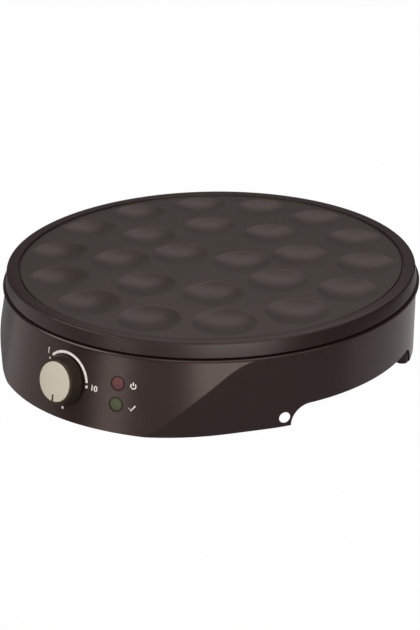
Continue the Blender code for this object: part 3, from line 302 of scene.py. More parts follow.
# %% The finishes
# name: darker and lighter colour, roughness, grains per metre, depth of the grain, specular level, metallic
FINISH_ROWS = {
    "plate_coating": ((0.038, 0.032, 0.029), (0.045, 0.038, 0.034), 0.36, 1500, 0.00001, 0.4, 0),
    "casing_plastic": ((0.0225, 0.0135, 0.0125), (0.0265, 0.0160, 0.0150), 0.26, 1800, 0.000001, 0.5, 0),
    "base_plastic": ((0.014, 0.013, 0.013), (0.020, 0.018, 0.018), 0.5, 1200, 0.00003, 0.4, 0),
    "knob_black": ((0.024, 0.0185, 0.0145), (0.029, 0.0225, 0.018), 0.42, 1400, 0.00001, 0.15, 0),
    "cap_beige": ((0.59, 0.585, 0.50), (0.64, 0.63, 0.54), 0.45, 1800, 0.00001, 0.4, 0),
    "red_lens": ((0.122, 0.055, 0.056), (0.145, 0.067, 0.068), 0.5, 800, 0.00001, 0.15, 0),
    "green_lens": ((0.073, 0.088, 0.048), (0.088, 0.105, 0.060), 0.5, 800, 0.00001, 0.15, 0),
    "lamp_glass": ((0.7, 0.62, 0.55), (0.8, 0.72, 0.62), 0.1, 600, 0.00001, 0.5, 0),
    "foot_rubber": ((0.013, 0.013, 0.013), (0.021, 0.020, 0.020), 0.8, 1400, 0.00006, 0.3, 0),
    "steel": ((0.50, 0.50, 0.51), (0.58, 0.58, 0.59), 0.35, 2200, 0.00001, 0.5, 1),
    "aluminium": ((0.68, 0.68, 0.70), (0.78, 0.78, 0.79), 0.42, 1600, 0.00002, 0.5, 1),
    "brass": ((0.66, 0.50, 0.22), (0.78, 0.60, 0.30), 0.36, 1800, 0.00001, 0.5, 1),
    "block_plastic": ((0.66, 0.65, 0.60), (0.76, 0.75, 0.71), 0.5, 1300, 0.00002, 0.5, 0),
    "wire_brown": ((0.13, 0.055, 0.022), (0.18, 0.08, 0.035), 0.5, 1300, 0.00001, 0.5, 0),
    "wire_blue": ((0.03, 0.08, 0.30), (0.05, 0.11, 0.38), 0.5, 1300, 0.00001, 0.5, 0),
    "wire_green": ((0.20, 0.34, 0.03), (0.28, 0.44, 0.05), 0.5, 1300, 0.00001, 0.5, 0),
    "white_print": ((0.88, 0.87, 0.85), (0.94, 0.93, 0.91), 0.5, 1500, 0.00001, 0.5, 0),
}
FINISH_EXTRAS = {
    "plate_coating": {"tint": (on_rim, RIM_COLOUR)},
    "casing_plastic": {"specular_tint": rgb(1, 0.9, 0.88)},
    "lamp_glass": {"transmission_weight": 0.7},
}

finishes = {name: plain_finish(name, row, **FINISH_EXTRAS.get(name, {})) for name, row in FINISH_ROWS.items()}
slots = {part["node"]: part["material_slot"] for part in frame["record"]["subparts"]}
for name, part in frame["nodes"].items():
    part.material_slots[0].material = finishes[slots[name]]
print(len(finishes), "finishes on", len(slots), "parts of the frame")

# %% [markdown]
# ## Tools of the workbench
#
# The pieces are modelled as by hand: a primitive is added, its faces or edges are picked by where they are,
# and edit-mode operators shape it. A script has no mouse to pick with, so a test on the place of a point
# stands in for it. Turned pieces are picked by height and by radius.

# %% Starting and picking
NEAR = 0.00002


def only(*pieces):
    """Select these pieces and no others, with the first one active."""
    bpy.ops.object.select_all(action="DESELECT")
    for piece in pieces:
        piece.select_set(True)
    bpy.context.view_layer.objects.active = pieces[0]


def begin(name):
    """Name the primitive just added, put its place in its mesh and open it for editing."""
    piece = bpy.context.active_object
    piece.name = name
    piece.data.name = name
    only(piece)
    bpy.ops.object.transform_apply(location=True, rotation=True, scale=True)
    bpy.ops.object.mode_set(mode="EDIT")
    return piece


def cylinder(name, steps, radius, low, high, middle_y=0):
    """Add an upright cylinder between two heights and open it for editing."""
    bpy.ops.mesh.primitive_cylinder_add(vertices=steps, radius=radius, depth=high - low,
                                        location=(0, middle_y, (low + high) / 2))
    return begin(name)


def pick(kind, test):
    """Select the faces or edges whose corners all pass a test, and return how many."""
    bpy.ops.mesh.select_mode(type=kind)
    bpy.ops.mesh.select_all(action="DESELECT")
    work = bmesh.from_edit_mesh(bpy.context.edit_object.data)
    passed = [part for part in {"EDGE": work.edges, "FACE": work.faces}[kind]
              if all(test(corner.co) for corner in part.verts)]
    for part in passed:
        part.select_set(True)
    bmesh.update_edit_mesh(bpy.context.edit_object.data)
    return len(passed)


def at_height(height):
    """A test for points at one height."""
    return lambda point: abs(point.z - height) < NEAR


def on_ring(radius, height, middle_y=0):
    """A test for points on one level ring."""
    return lambda point: (abs(point.z - height) < NEAR
                          and abs(math.hypot(point.x, point.y - middle_y) - radius) < NEAR)


print(f"points within {NEAR * MM_PER_M:.2f} mm count as being in one place")

# %% [markdown]
# What is picked is pushed along, widened about the axis, stepped inwards or rounded. A turned section could
# also be spun, but a ring that is extruded and widened gives the same rows of faces, and it can start from
# a face that is already there. Rounded edges matter most for the look, because they catch the light.

# %% Shaping
ROUND_STEPS = 3
FINE_STEPS = 4
SMALL_STEPS = 2


def push(shift):
    """Extrude the faces that are selected by a shift."""
    bpy.ops.mesh.extrude_region_move(TRANSFORM_OT_translate={"value": shift})


def widen(factor, middle=(0, 0, 0)):
    """Widen what is selected about an upright axis."""
    bpy.ops.transform.resize(value=(factor, factor, 1), center_override=middle)


def rounded(size, segments=ROUND_STEPS):
    """Round the edges that are selected."""
    bpy.ops.mesh.bevel(offset=size, segments=segments, affect="EDGES")


def soften(radius, height, size, segments=ROUND_STEPS):
    """Round the edge of a turned piece, on one level ring."""
    pick("EDGE", on_ring(radius, height))
    rounded(size, segments)


def step_in(thickness, depth):
    """Inset the face that is selected, and then push or pull the new face along its normal."""
    bpy.ops.mesh.inset(thickness=thickness)
    work = bmesh.from_edit_mesh(bpy.context.edit_object.data)
    normal = next(face.normal.copy() for face in work.faces if face.select)
    push(depth * normal)


def rings(first, profile, middle_y=0):
    """Extrude the ring that is selected through a list of (radius, height) rings."""
    radius, height = first
    for next_radius, next_height in profile:
        bpy.ops.mesh.extrude_edges_move(TRANSFORM_OT_translate={"value": (0, 0, next_height - height)})
        widen(next_radius / radius, (0, middle_y, next_height))
        radius, height = next_radius, next_height


def open_ring(name, steps, first, middle_y=0):
    """Add a ring of edges with a radius and a height, open it for editing and select it all."""
    radius, height = first
    bpy.ops.mesh.primitive_circle_add(vertices=steps, radius=radius, fill_type="NOTHING",
                                      location=(0, middle_y, height))
    piece = begin(name)
    bpy.ops.mesh.select_mode(type="EDGE")
    bpy.ops.mesh.select_all(action="SELECT")
    return piece


def sleeve(name, steps, profile, middle_y=0):
    """A hollow turned piece: its profile runs from ring to ring, and both ends share a height."""
    first, *others = profile
    piece = open_ring(name, steps, first, middle_y)
    rings(first, others, middle_y)
    pick("EDGE", at_height(first[1]))
    bpy.ops.mesh.bridge_edge_loops()
    return piece


print("edges are rounded in", ROUND_STEPS, "steps where no other number is given")

# %% [markdown]
# A piece that is done has its normals pointing outwards and is shaded smooth between its sharp edges. It is
# cut where something goes through it, and put in place by a matrix that is written into its mesh, as the
# parts of the frame are. Then it is dressed: it gets a finish and a body to ride on, and the parts of the
# frame that it stands for are hidden.

# %% Finishing a piece
SHARP_ANGLE = 30


def shade(piece, sharp=SHARP_ANGLE):
    """Shade a piece smooth, except at edges sharper than an angle in degrees."""
    only(piece)
    bpy.ops.object.shade_smooth_by_angle(angle=math.radians(sharp))


def leave(piece, sharp=SHARP_ANGLE):
    """Close the edit, with normals outwards and smooth shading."""
    bpy.ops.mesh.select_all(action="SELECT")
    bpy.ops.mesh.normals_make_consistent(inside=False)
    bpy.ops.object.mode_set(mode="OBJECT")
    shade(piece, sharp)
    return piece


def apply_modifier(piece, kind, **settings):
    """Add a modifier with its settings and apply it."""
    only(piece)
    change = piece.modifiers.new("change", kind)
    for name, value in settings.items():
        setattr(change, name, value)
    bpy.ops.object.modifier_apply(modifier=change.name)


def cut(piece, tool):
    """Cut a tool out of a piece and throw the tool away."""
    apply_modifier(piece, "BOOLEAN", operation="DIFFERENCE", solver="EXACT", object=tool)
    bpy.data.objects.remove(tool)


def place(piece, matrix):
    """Put a piece where a matrix says, with its place in its mesh."""
    piece.matrix_world = matrix @ piece.matrix_world
    only(piece)
    bpy.ops.object.transform_apply(location=True, rotation=True, scale=True)
    return piece


def copy_of(piece, name):
    """A copy with its own mesh."""
    twin = piece.copy()
    twin.data = piece.data.copy()
    twin.name = name
    bpy.context.scene.collection.objects.link(twin)
    return twin


def dress(piece, finish, body, *nodes):
    """Give a finished piece its finish and its body, and hide the parts of the frame that it stands for."""
    piece.data.materials.clear()
    piece.data.materials.append(finishes[finish])
    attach(piece, body)
    finish if finish in set(slots.values()) else "casing_plastic"
    if nodes:
        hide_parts(*nodes)
    print(f"{piece.name}: {len(piece.data.polygons)} faces in {finish}")


print("edges over", SHARP_ANGLE, "degrees stay sharp")

# %% [markdown]
# ## Cooking plate
#
# The plate is one casting: a flat field with round bowls, a raised rim around it, and a skirt that hides
# the gap to the casing. It could be spun from its section, but a cylinder has the right faces at once:
# insets on its upper end give the rim, a fine groove and the field, and an inset on its lower end gives the
# hollow.

# %% Plate blank
PLATE_STEPS = 256
RIM_STEP = 0.0002
RIM_RISE = 0.001
RIM_ROUNDING = 0.0012
GROOVE_WIDTH = 0.0011
GROOVE_DEPTH = 0.0014
SKIRT_WALL = 0.0024
PLATE_THICKNESS = 0.007

field_top = rim_top - RIM_RISE
plate = cylinder("plate_casting", PLATE_STEPS, skirt_radius, rim_bottom, rim_top, axis_y)
pick("FACE", at_height(rim_top))
widen(rim_radius / skirt_radius, (0, axis_y, 0))
bpy.ops.mesh.inset(thickness=RIM_WIDTH)
bpy.ops.mesh.inset(thickness=RIM_STEP, depth=-RIM_RISE - GROOVE_DEPTH)
bpy.ops.mesh.inset(thickness=GROOVE_WIDTH)
bpy.ops.mesh.inset(thickness=GROOVE_DEPTH / 2, depth=GROOVE_DEPTH)
pick("FACE", at_height(rim_bottom))
bpy.ops.mesh.inset(thickness=SKIRT_WALL)
push((0, 0, field_top - PLATE_THICKNESS - rim_bottom))
print("edges of the rim:", pick("EDGE", on_ring(rim_radius, rim_top, axis_y)))
rounded(RIM_ROUNDING, FINE_STEPS)
leave(plate)

# %% [markdown]
# The bowls are shallow parts of a ball, milled or cast into the field. One ball is cut down to its lowest
# cap, the cap is copied round three circles, and all the caps are cut out at once, which keeps the rest of
# the field flat. Pushing faces in would bend the field around each bowl.

# %% Bowls
BOWL_RADIUS = 0.0215
BOWL_DEPTH = 0.004
BOWL_STEPS = 64
BALL_RINGS = 90
BOWL_OVERRUN = 0.0005
# each circle of bowls: its share of the field's radius, how many bowls, and the azimuth of the first
BOWL_RINGS = ((0.809, 14, -8), (0.468, 8, -5), (0.171, 2, 107))

ball_radius = (BOWL_RADIUS ** 2 + BOWL_DEPTH ** 2) / (2 * BOWL_DEPTH)
bpy.ops.mesh.primitive_uv_sphere_add(segments=BOWL_STEPS, ring_count=BALL_RINGS, radius=ball_radius,
                                     location=(0, 0, field_top - BOWL_DEPTH + ball_radius))
bowl_cap = begin("bowl_cap")
bpy.ops.mesh.select_all(action="SELECT")
bpy.ops.mesh.bisect(plane_co=(0, 0, field_top + BOWL_OVERRUN), plane_no=(0, 0, 1),
                    use_fill=True, clear_outer=True)
leave(bowl_cap)
bowl_middles = []
for share, count, first_azimuth in BOWL_RINGS:
    for index in range(count):
        spot = towards(first_azimuth + FULL_TURN * index / count) * field_radius * share
        bowl_middles.append(Vector((spot.x, spot.y + axis_y, 0)))
cutters = [place(copy_of(bowl_cap, "bowl_cap_copy"), Matrix.Translation(middle)) for middle in bowl_middles]
only(*cutters)
bpy.ops.object.join()
cut(plate, cutters[0])
bpy.data.objects.remove(bowl_cap)
print(len(bowl_middles), "bowls cut")

# %% [markdown]
# The coating would wear off a sharp lip, so the lip of each bowl is rounded a little. The round edges are
# picked by their distance from a bowl's middle. The cut leaves large level faces between the bowls. They
# are shaded flat, so that the lips don't pull shadows across them.

# %% Rounded lips
BOWL_LIP = 0.0006
BOWL_NEAR = 0.0001

only(plate)
bpy.ops.object.mode_set(mode="EDIT")
on_field = at_height(field_top)


def on_bowl_edge(point):
    """Whether a point is on the edge of a bowl."""
    offsets = (math.hypot(point.x - middle.x, point.y - middle.y) - BOWL_RADIUS for middle in bowl_middles)
    return on_field(point) and any(abs(offset) < BOWL_NEAR for offset in offsets)


print("lip edges:", pick("EDGE", on_bowl_edge))
rounded(BOWL_LIP)
leave(plate)
bpy.ops.object.mode_set(mode="EDIT")
print("flat faces of the field:", pick("FACE", on_field))
bpy.ops.mesh.faces_shade_flat()
bpy.ops.object.mode_set(mode="OBJECT")
dress(plate, "plate_coating", "appliance", "cooking_plate")

# %% [markdown]
# ## Casing
#
# The casing is a round moulded drum with a lip. Its front leans out into a control panel that ends in a
# curved crease on each side. Sculpting that would leave dents in the gloss, so a ring is extruded along the
# drum's section, with three close rows kept for the crease, and a formula then moves each point out.

# %% Section of the casing
CASING_STEPS = 360
WALL_THICKNESS = 0.0024
LIP_OVERHANG = 0.002
LIP_THICKNESS = 0.002
LIP_SLOPE = 0.0006
LIP_CHAMFER = 0.0006
COLLAR_INSET = 0.0135
COLLAR_DEPTH = 0.006
CREASE_SOFTNESS = 0.0007

wall_radius = lip_radius - LIP_OVERHANG
wall_top = lip_top - LIP_THICKNESS
inner_radius = wall_radius - WALL_THICKNESS
ceiling = lip_top - WALL_THICKNESS
collar_radius = lip_radius - COLLAR_INSET
collar_bottom = lip_top - COLLAR_DEPTH
crease_row = (wall_top + casing_bottom) / 2
section = [
    (collar_radius, collar_bottom),
    (collar_radius, lip_top),
    (lip_radius - LIP_CHAMFER, lip_top),
    (lip_radius, lip_top - LIP_CHAMFER),
    (lip_radius, wall_top + LIP_SLOPE),
    (wall_radius, wall_top),
    (wall_radius, crease_row + CREASE_SOFTNESS),
    (wall_radius, crease_row),
    (wall_radius, crease_row - CREASE_SOFTNESS),
    (wall_radius, casing_bottom),
    (inner_radius, casing_bottom),
    (inner_radius, crease_row),
    (inner_radius, ceiling),
    (collar_radius + WALL_THICKNESS, ceiling),
    (collar_radius + WALL_THICKNESS, collar_bottom),
]
casing = sleeve("casing_moulding", CASING_STEPS, section, axis_y)
print("casing rows:", len(section))

# %% [markdown]
# The panel is straight from top to bottom and leans out by a fifth to a quarter of the drop. Towards its
# sides the upright wall cuts it off, and the crease is where the two meet: it starts at the lip and runs
# down to the casing's lower edge. One function gives the crease's height, and the flare follows from it.

# %% Flare of the panel
PANEL_FLARE = 0.0108
PANEL_TOP_ARC = 47.0
PANEL_BOTTOM_ARC = 22.7
PANEL_LEFT_TOP_ARC = 66
PANEL_LEFT_BOTTOM_ARC = 24
PANEL_BULGE = 0.0022
PANEL_BULGE_MIDDLE = -8
PANEL_BULGE_ARC = 33
PANEL_BLEND_ARC = 5

wall_height = wall_top - casing_bottom


def crease_drop(azimuth):
    """How far below the wall's top the crease runs, at an azimuth in degrees."""
    top_arc, bottom_arc = PANEL_TOP_ARC, PANEL_BOTTOM_ARC
    if azimuth < 0:
        top_arc, bottom_arc = PANEL_LEFT_TOP_ARC, PANEL_LEFT_BOTTOM_ARC
    inside = top_arc - abs(azimuth)
    if inside < -PANEL_BLEND_ARC:
        return 0
    if inside < PANEL_BLEND_ARC:
        # a parabola that leaves the lip level and meets the straight run without a kink
        inside = (inside + PANEL_BLEND_ARC) ** 2 / (4 * PANEL_BLEND_ARC)
    return min(1, inside / (top_arc - bottom_arc)) * wall_height


def panel_slope(azimuth):
    """How far the panel leans out for each metre of drop, a little more near its middle."""
    off = min(1, abs(azimuth - PANEL_BULGE_MIDDLE) / PANEL_BULGE_ARC)
    return (PANEL_FLARE + PANEL_BULGE * math.cos(math.pi / 2 * off) ** 2) / wall_height


def flare(azimuth, height):
    """How far the wall stands out from the drum at a place on it."""
    return panel_slope(azimuth) * max(0, min(wall_top - height, crease_drop(azimuth)))


def azimuth_of(point):
    """The azimuth of a point in degrees from the front."""
    return math.degrees(math.atan2(point.x, axis_y - point.y))


print(f"the panel stands out by {flare(0, casing_bottom) * MM_PER_M:.1f} mm at its lower edge")

# %% [markdown]
# Now the points move. The three rows of the crease go onto its line first, close together, so that the
# crease is as narrow as on a moulding. Then each point below the lip goes out by the flare at its own
# azimuth and height. The inner wall goes with it, and the wall keeps its thickness.

# %% Panel and crease
CREASE_MARGIN = 0.0012
BOTTOM_ROUNDING = 0.0006

work = bmesh.from_edit_mesh(casing.data)
for corner in work.verts:
    spot = corner.co
    radius = math.hypot(spot.x, spot.y - axis_y)
    if radius < inner_radius - NEAR or spot.z > wall_top + NEAR:
        continue
    azimuth = azimuth_of(spot)
    beside = spot.z - crease_row
    if abs(beside) < CREASE_SOFTNESS + NEAR:
        crease = wall_top - crease_drop(azimuth)
        spot.z = beside + min(wall_top - CREASE_MARGIN, max(casing_bottom + CREASE_MARGIN, crease))
    stretch = (radius + flare(azimuth, spot.z)) / radius
    spot.x *= stretch
    spot.y = axis_y + (spot.y - axis_y) * stretch
bmesh.update_edit_mesh(casing.data)


def on_bottom_edge(point):
    """Whether a point is on the outer lower edge of the casing."""
    edge_radius = wall_radius + flare(azimuth_of(point), casing_bottom)
    return at_height(casing_bottom)(point) and math.hypot(point.x, point.y - axis_y) > edge_radius - NEAR


print("bottom edges:", pick("EDGE", on_bottom_edge))
rounded(BOTTOM_ROUNDING)
leave(casing)

# %% [markdown]
# Two low gaps at the sides let fingers under the appliance. A block that is as long as the casing is wide
# cuts both at once. Its two upper edges are rounded as far as they go, and then the block is stretched
# upwards, because the round corners of the real gaps are a little taller than they are wide.

# %% Side gaps
SIDE_GAP_ARC = 25.4
SIDE_GAP_FORWARD = 0.0135
SIDE_GAP_HEIGHT = 0.014
SIDE_GAP_FILLET = 0.0119
FILLET_SHARE = 0.999
FILLET_STEPS = 12
CUT_OVERRUN = 0.004

gap_half = wall_radius * math.sin(math.radians(SIDE_GAP_ARC))
block_length = 2 * (wall_radius + CUT_OVERRUN)
bpy.ops.mesh.primitive_cube_add(size=1, scale=(block_length, 2 * gap_half, SIDE_GAP_FILLET),
                                location=(0, axis_y - SIDE_GAP_FORWARD, casing_bottom + SIDE_GAP_FILLET / 2))
block = begin("gap_block")
pick("EDGE", lambda point: point.z > casing_bottom + NEAR)
work = bmesh.from_edit_mesh(block.data)
for edge in work.edges:
    run = edge.verts[0].co - edge.verts[1].co
    edge.select_set(edge.select and abs(run.x) > NEAR)
bmesh.update_edit_mesh(block.data)
rounded(SIDE_GAP_FILLET * FILLET_SHARE, FILLET_STEPS)
bpy.ops.mesh.select_all(action="SELECT")
bpy.ops.transform.resize(value=(1, 1, SIDE_GAP_HEIGHT / SIDE_GAP_FILLET),
                         center_override=(0, axis_y, casing_bottom))
pick("FACE", at_height(casing_bottom))
push((0, 0, -CUT_OVERRUN))
leave(block)
cut(casing, block)
print(f"side gaps {2 * gap_half * MM_PER_M:.0f} mm long")

# %% [markdown]
# The panel has holes for the two lamps and the knob's shaft, the rear wall has one for the cord, and in front
# of each side gap is a small round one. All of them stand square to the wall, so a frame on the wall places
# the drill, and later the knob, the lamps and the print. In front of the gaps the drill widens towards the
# inside, so that the white ground shows through a hole that is seen at a slant.

# %% Round holes
HANG_HOLE_ARC = 57.1
HANG_HOLE_HEIGHT = 0.0093
HANG_HOLE_RADIUS = 0.0039
HANG_HOLE_INNER_RADIUS = 0.0056
LAMP_PLACES = {"power": (15.5, 0.0358), "ready": (15.3, 0.0218)}
LAMP_HOLE_RADIUS = 0.0049
KNOB_HEIGHT = 0.029
BUSH_HOLE_RADIUS = 0.005
INLET_HEIGHT = 0.036
INLET_HOLE_RADIUS = 0.0059
HOLE_STEPS = 48
HOLE_LAND = 0.0004


def wall_frame(azimuth, height, tilt=0):
    """A frame on the wall's face at an azimuth in degrees: X along the wall, Y up it, Z out of it."""
    spot = towards(azimuth) * (wall_radius + flare(azimuth, height))
    turn = Matrix.Rotation(math.radians(azimuth), 4, "Z") @ Matrix.Rotation(math.pi / 2 - tilt, 4, "X")
    return Matrix.Translation((spot.x, spot.y + axis_y, height)) @ turn


def panel_frame(azimuth, height):
    """A frame on the leaning panel."""
    return wall_frame(azimuth, height, math.atan(panel_slope(azimuth)))


def drill(piece, wall_place, radius, inner_end_radius):
    """Cut a round hole through the wall at a place on it, with its own radius at the inner face."""
    tool = cylinder("drill", HOLE_STEPS, radius, -HOLE_LAND, CUT_OVERRUN - HOLE_LAND)
    pick("FACE", at_height(-HOLE_LAND))
    push((0, 0, HOLE_LAND - WALL_THICKNESS))
    widen(inner_end_radius / radius)
    push((0, 0, -CUT_OVERRUN))
    leave(tool)
    cut(piece, place(tool, wall_place))


for azimuth in (-HANG_HOLE_ARC, HANG_HOLE_ARC):
    drill(casing, wall_frame(azimuth, HANG_HOLE_HEIGHT), HANG_HOLE_RADIUS, HANG_HOLE_INNER_RADIUS)
for azimuth, height in LAMP_PLACES.values():
    drill(casing, panel_frame(azimuth, height), LAMP_HOLE_RADIUS, LAMP_HOLE_RADIUS)
drill(casing, panel_frame(0, KNOB_HEIGHT), BUSH_HOLE_RADIUS, BUSH_HOLE_RADIUS)
drill(casing, wall_frame(HALF_TURN, INLET_HEIGHT), INLET_HOLE_RADIUS, INLET_HOLE_RADIUS)
shade(casing)
dress(casing, "casing_plastic", "appliance", "casing_shell")

# %% [markdown]
# ## Knob
#
# The knob is a low black cone with a hollow back. A cylinder is narrowed at its face, and steps into the
# face and the back make the seat of the cap, the hollow over the nut and the bore of the shaft. It could be
# extruded ring by ring as the casing is, but its steps are few and all level.

# %% Knob body
KNOB_STEPS = 96
KNOB_CLEARANCE = 0.0009
KNOB_DEPTH = 0.0092
KNOB_BASE_RADIUS = 0.0174
KNOB_FACE_RADIUS = 0.0147
KNOB_RIM = 0.001
CAP_SEAT = 0.0014
KNOB_HOLLOW_RADIUS = 0.0092
KNOB_HOLLOW_DEPTH = 0.003
CLIP_POCKET_RADIUS = 0.0042
CLIP_POCKET_DEPTH = 0.0019
SHAFT_BORE_RADIUS = 0.0033
SHAFT_BORE_DEPTH = 0.0009
KNOB_ROUNDING = 0.0005

knob = cylinder("knob_grip", KNOB_STEPS, KNOB_BASE_RADIUS, KNOB_CLEARANCE, KNOB_DEPTH)
pick("FACE", at_height(KNOB_DEPTH))
widen(KNOB_FACE_RADIUS / KNOB_BASE_RADIUS)
step_in(KNOB_RIM, -CAP_SEAT)
pick("FACE", at_height(KNOB_CLEARANCE))
step_in(KNOB_BASE_RADIUS - KNOB_HOLLOW_RADIUS, -KNOB_HOLLOW_DEPTH)
step_in(KNOB_HOLLOW_RADIUS - CLIP_POCKET_RADIUS, -CLIP_POCKET_DEPTH)
step_in(CLIP_POCKET_RADIUS - SHAFT_BORE_RADIUS, -SHAFT_BORE_DEPTH)
soften(KNOB_FACE_RADIUS, KNOB_DEPTH, KNOB_ROUNDING, FINE_STEPS)
soften(KNOB_BASE_RADIUS, KNOB_CLEARANCE, KNOB_ROUNDING)
leave(knob)
knob_place = panel_frame(0, KNOB_HEIGHT)
place(knob, knob_place)

# %% [markdown]
# The edge round the knob's face catches a highlight, which makes it browner and lighter than its side. A lamp
# that did this would light the panel too, so the highlight is painted: the knob's finish is the plain black
# one with a lighter brown tint on its outer edge. The tint measures how far out a point lies along the
# knob's own axis, which leans with the panel.

# %% Finish of the knob
# the painted highlight: width of the lit band on the face's edge, and its lighter brown colour
KNOB_HIGHLIGHT_BAND = 0.0012
KNOB_HIGHLIGHT_COLOUR = rgb(0.055, 0.037, 0.022)

knob_axis = knob_place.to_3x3() @ Vector((0, 0, 1))
highlight_start = knob_place.translation.dot(knob_axis) + KNOB_DEPTH - KNOB_HIGHLIGHT_BAND


def on_knob_highlight(finish):
    """1 on the outermost edge of the knob, where the highlight is painted, else 0."""
    spot = finish.node("ShaderNodeTexCoord", output="Object")
    inputs = {0: spot, 1: knob_axis}
    along = finish.node("ShaderNodeVectorMath", {"operation": "DOT_PRODUCT"}, inputs, output="Value")
    return along.math("GREATER_THAN", highlight_start)


# the knob's black finish with the painted highlight on its edge
painted_highlight = (on_knob_highlight, KNOB_HIGHLIGHT_COLOUR)
finishes["knob_edged"] = plain_finish("knob_edged", FINISH_ROWS["knob_black"], painted_highlight)
dress(knob, "knob_edged", "control_knob", "knob_body")

# %% [markdown]
# A thin beige cap fills the seat, and a dark bar across its lower edge is the pointer. It could be painted
# on the cap, but the real one is a piece of its own. So a block cuts a slot that is a little wider than the
# bar, and the sides of the bar show a fine shadow.

# %% Cap and pointer
CAP_TOP = 0.0095
CAP_THICKNESS = 0.0013
CAP_ROUNDING = 0.0003
CAP_GAP = 0.0001
POINTER_WIDTH = 0.0014
POINTER_LENGTH = 0.0047
POINTER_DROP = 0.0001
POINTER_ROUNDING = 0.0002

cap_radius = KNOB_FACE_RADIUS - KNOB_RIM - CAP_GAP
cap = cylinder("knob_cap_plate", KNOB_STEPS, cap_radius, CAP_TOP - CAP_THICKNESS, CAP_TOP)
soften(cap_radius, CAP_TOP, CAP_ROUNDING)
leave(cap)
pointer_y = POINTER_LENGTH / 2 - cap_radius
pointer_z = CAP_TOP - CAP_THICKNESS / 2
slot_sides = (POINTER_WIDTH + 2 * CAP_GAP, POINTER_LENGTH + CAP_ROUNDING, 2 * CAP_THICKNESS)
bpy.ops.mesh.primitive_cube_add(size=1, location=(0, pointer_y, pointer_z), scale=slot_sides)
slot_block = begin("pointer_slot")
leave(slot_block)
cut(cap, slot_block)
shade(cap)
place(cap, knob_place)
dress(cap, "cap_beige", "control_knob", "knob_cap")

pointer_sides = (POINTER_WIDTH, POINTER_LENGTH - CAP_ROUNDING, CAP_THICKNESS)
pointer_spot = (0, pointer_y, pointer_z - POINTER_DROP)
bpy.ops.mesh.primitive_cube_add(size=1, location=pointer_spot, scale=pointer_sides)
pointer = begin("knob_pointer_bar")
pick("FACE", at_height(CAP_TOP - POINTER_DROP))
rounded(POINTER_ROUNDING, SMALL_STEPS)
leave(pointer)
place(pointer, knob_place)
dress(pointer, "knob_black", "control_knob", "knob_pointer")

# %% [markdown]
# ## Indicator lamps
#
# Each lamp is a domed lens in a black sleeve that shows as a thin ring. The two lamps are alike, so one
# pattern of each piece is made and copied. The sleeve is a ring extruded along its section and closed on
# itself. The lens is a cylinder whose face steps inwards and outwards into a dome.

# %% Lenses and rings
LAMP_STEPS = 48
LENS_RADIUS = 0.0043
LENS_EDGE = -0.0001
LENS_DEPTH = 0.004
LENS_SHARP_ANGLE = 40
# the dome's rings: radius and height over the panel
LENS_DOME = ((0.0038, 0.0002), (0.003, 0.0004), (0.002, 0.00055), (0.001, 0.0006))
LAMP_RING_RADIUS = 0.0051
LAMP_RING_RISE = 0.0002
LAMP_SLEEVE_RADIUS = 0.0046
LAMP_SLEEVE_DEPTH = 0.009
BULB_BORE = 0.0028
RING_ROUNDING = 0.0001

lens_bore = LENS_RADIUS + CAP_GAP
lens_seat = -LENS_DEPTH - CAP_GAP
ring = sleeve("lamp_ring", LAMP_STEPS, [
    (LAMP_SLEEVE_RADIUS, -LAMP_SLEEVE_DEPTH),
    (LAMP_SLEEVE_RADIUS, 0),
    (LAMP_RING_RADIUS, 0),
    (LAMP_RING_RADIUS, LAMP_RING_RISE),
    (lens_bore, LAMP_RING_RISE),
    (lens_bore, lens_seat),
    (BULB_BORE, lens_seat),
    (BULB_BORE, -LAMP_SLEEVE_DEPTH),
])
soften(LAMP_RING_RADIUS, LAMP_RING_RISE, RING_ROUNDING, SMALL_STEPS)
leave(ring)
lens = cylinder("lamp_lens", LAMP_STEPS, LENS_RADIUS, -LENS_DEPTH, LENS_EDGE)
pick("FACE", at_height(LENS_EDGE))
radius, height = LENS_RADIUS, LENS_EDGE
for next_radius, next_height in LENS_DOME:
    bpy.ops.mesh.inset(thickness=radius - next_radius, depth=next_height - height)
    radius, height = next_radius, next_height
leave(lens, LENS_SHARP_ANGLE)
for name, colour in (("power", "red_lens"), ("ready", "green_lens")):
    lamp_place = panel_frame(*LAMP_PLACES[name])
    dress(place(copy_of(ring, name + "_ring"), lamp_place), "knob_black", "appliance", name + "_lamp_holder")
    dress(place(copy_of(lens, name + "_lens"), lamp_place), colour, "appliance", name + "_lamp_lens")
for pattern in (ring, lens):
    bpy.data.objects.remove(pattern)

# %% [markdown]
# ## Printed marks
#
# The panel carries thin white marks: an arc round the knob, three dots, plain numbers at the arc's ends,
# and a small sign beside each lamp. A picture on the panel would go soft from near by, so each mark is a
# flat shape. It is laid on the curved panel by projection and given the thickness of a coat of ink.

# %% Flat marks
BAND_STEPS = 360
DOT_STEPS = 24
DIGIT_BOLDNESS = 0.00012


def clock(point):
    """The angle of a point clockwise from the top, in degrees from -180 to 180."""
    return math.degrees(math.atan2(point.x, point.y))


def at_clock(angle, radius):
    """The place at a clock angle on a circle."""
    return Vector((radius * math.sin(math.radians(angle)), radius * math.cos(math.radians(angle)), 0))


def band(name, radius, width, start, end):
    """A flat band of a circle between two clock angles."""
    outer = (radius + width / 2, 0)
    piece = open_ring(name, BAND_STEPS, outer)
    rings(outer, [(radius - width / 2, 0)])
    pick("FACE", lambda point: not start <= clock(point) <= end)
    bpy.ops.mesh.delete(type="FACE")
    return leave(piece)


def dot(name, radius, middle):
    """A flat round dot."""
    bpy.ops.mesh.primitive_circle_add(vertices=DOT_STEPS, radius=radius, fill_type="NGON", location=middle)
    return leave(begin(name))


def bar(name, start, end, width):
    """A flat bar from one point to another."""
    run = end - start
    bpy.ops.mesh.primitive_plane_add(size=1)
    piece = begin(name)
    bpy.ops.transform.resize(value=(width, run.length, 1))
    leave(piece)
    turn = Matrix.Rotation(-math.radians(clock(run)), 4, "Z")
    return place(piece, Matrix.Translation((start + end) / 2) @ turn)


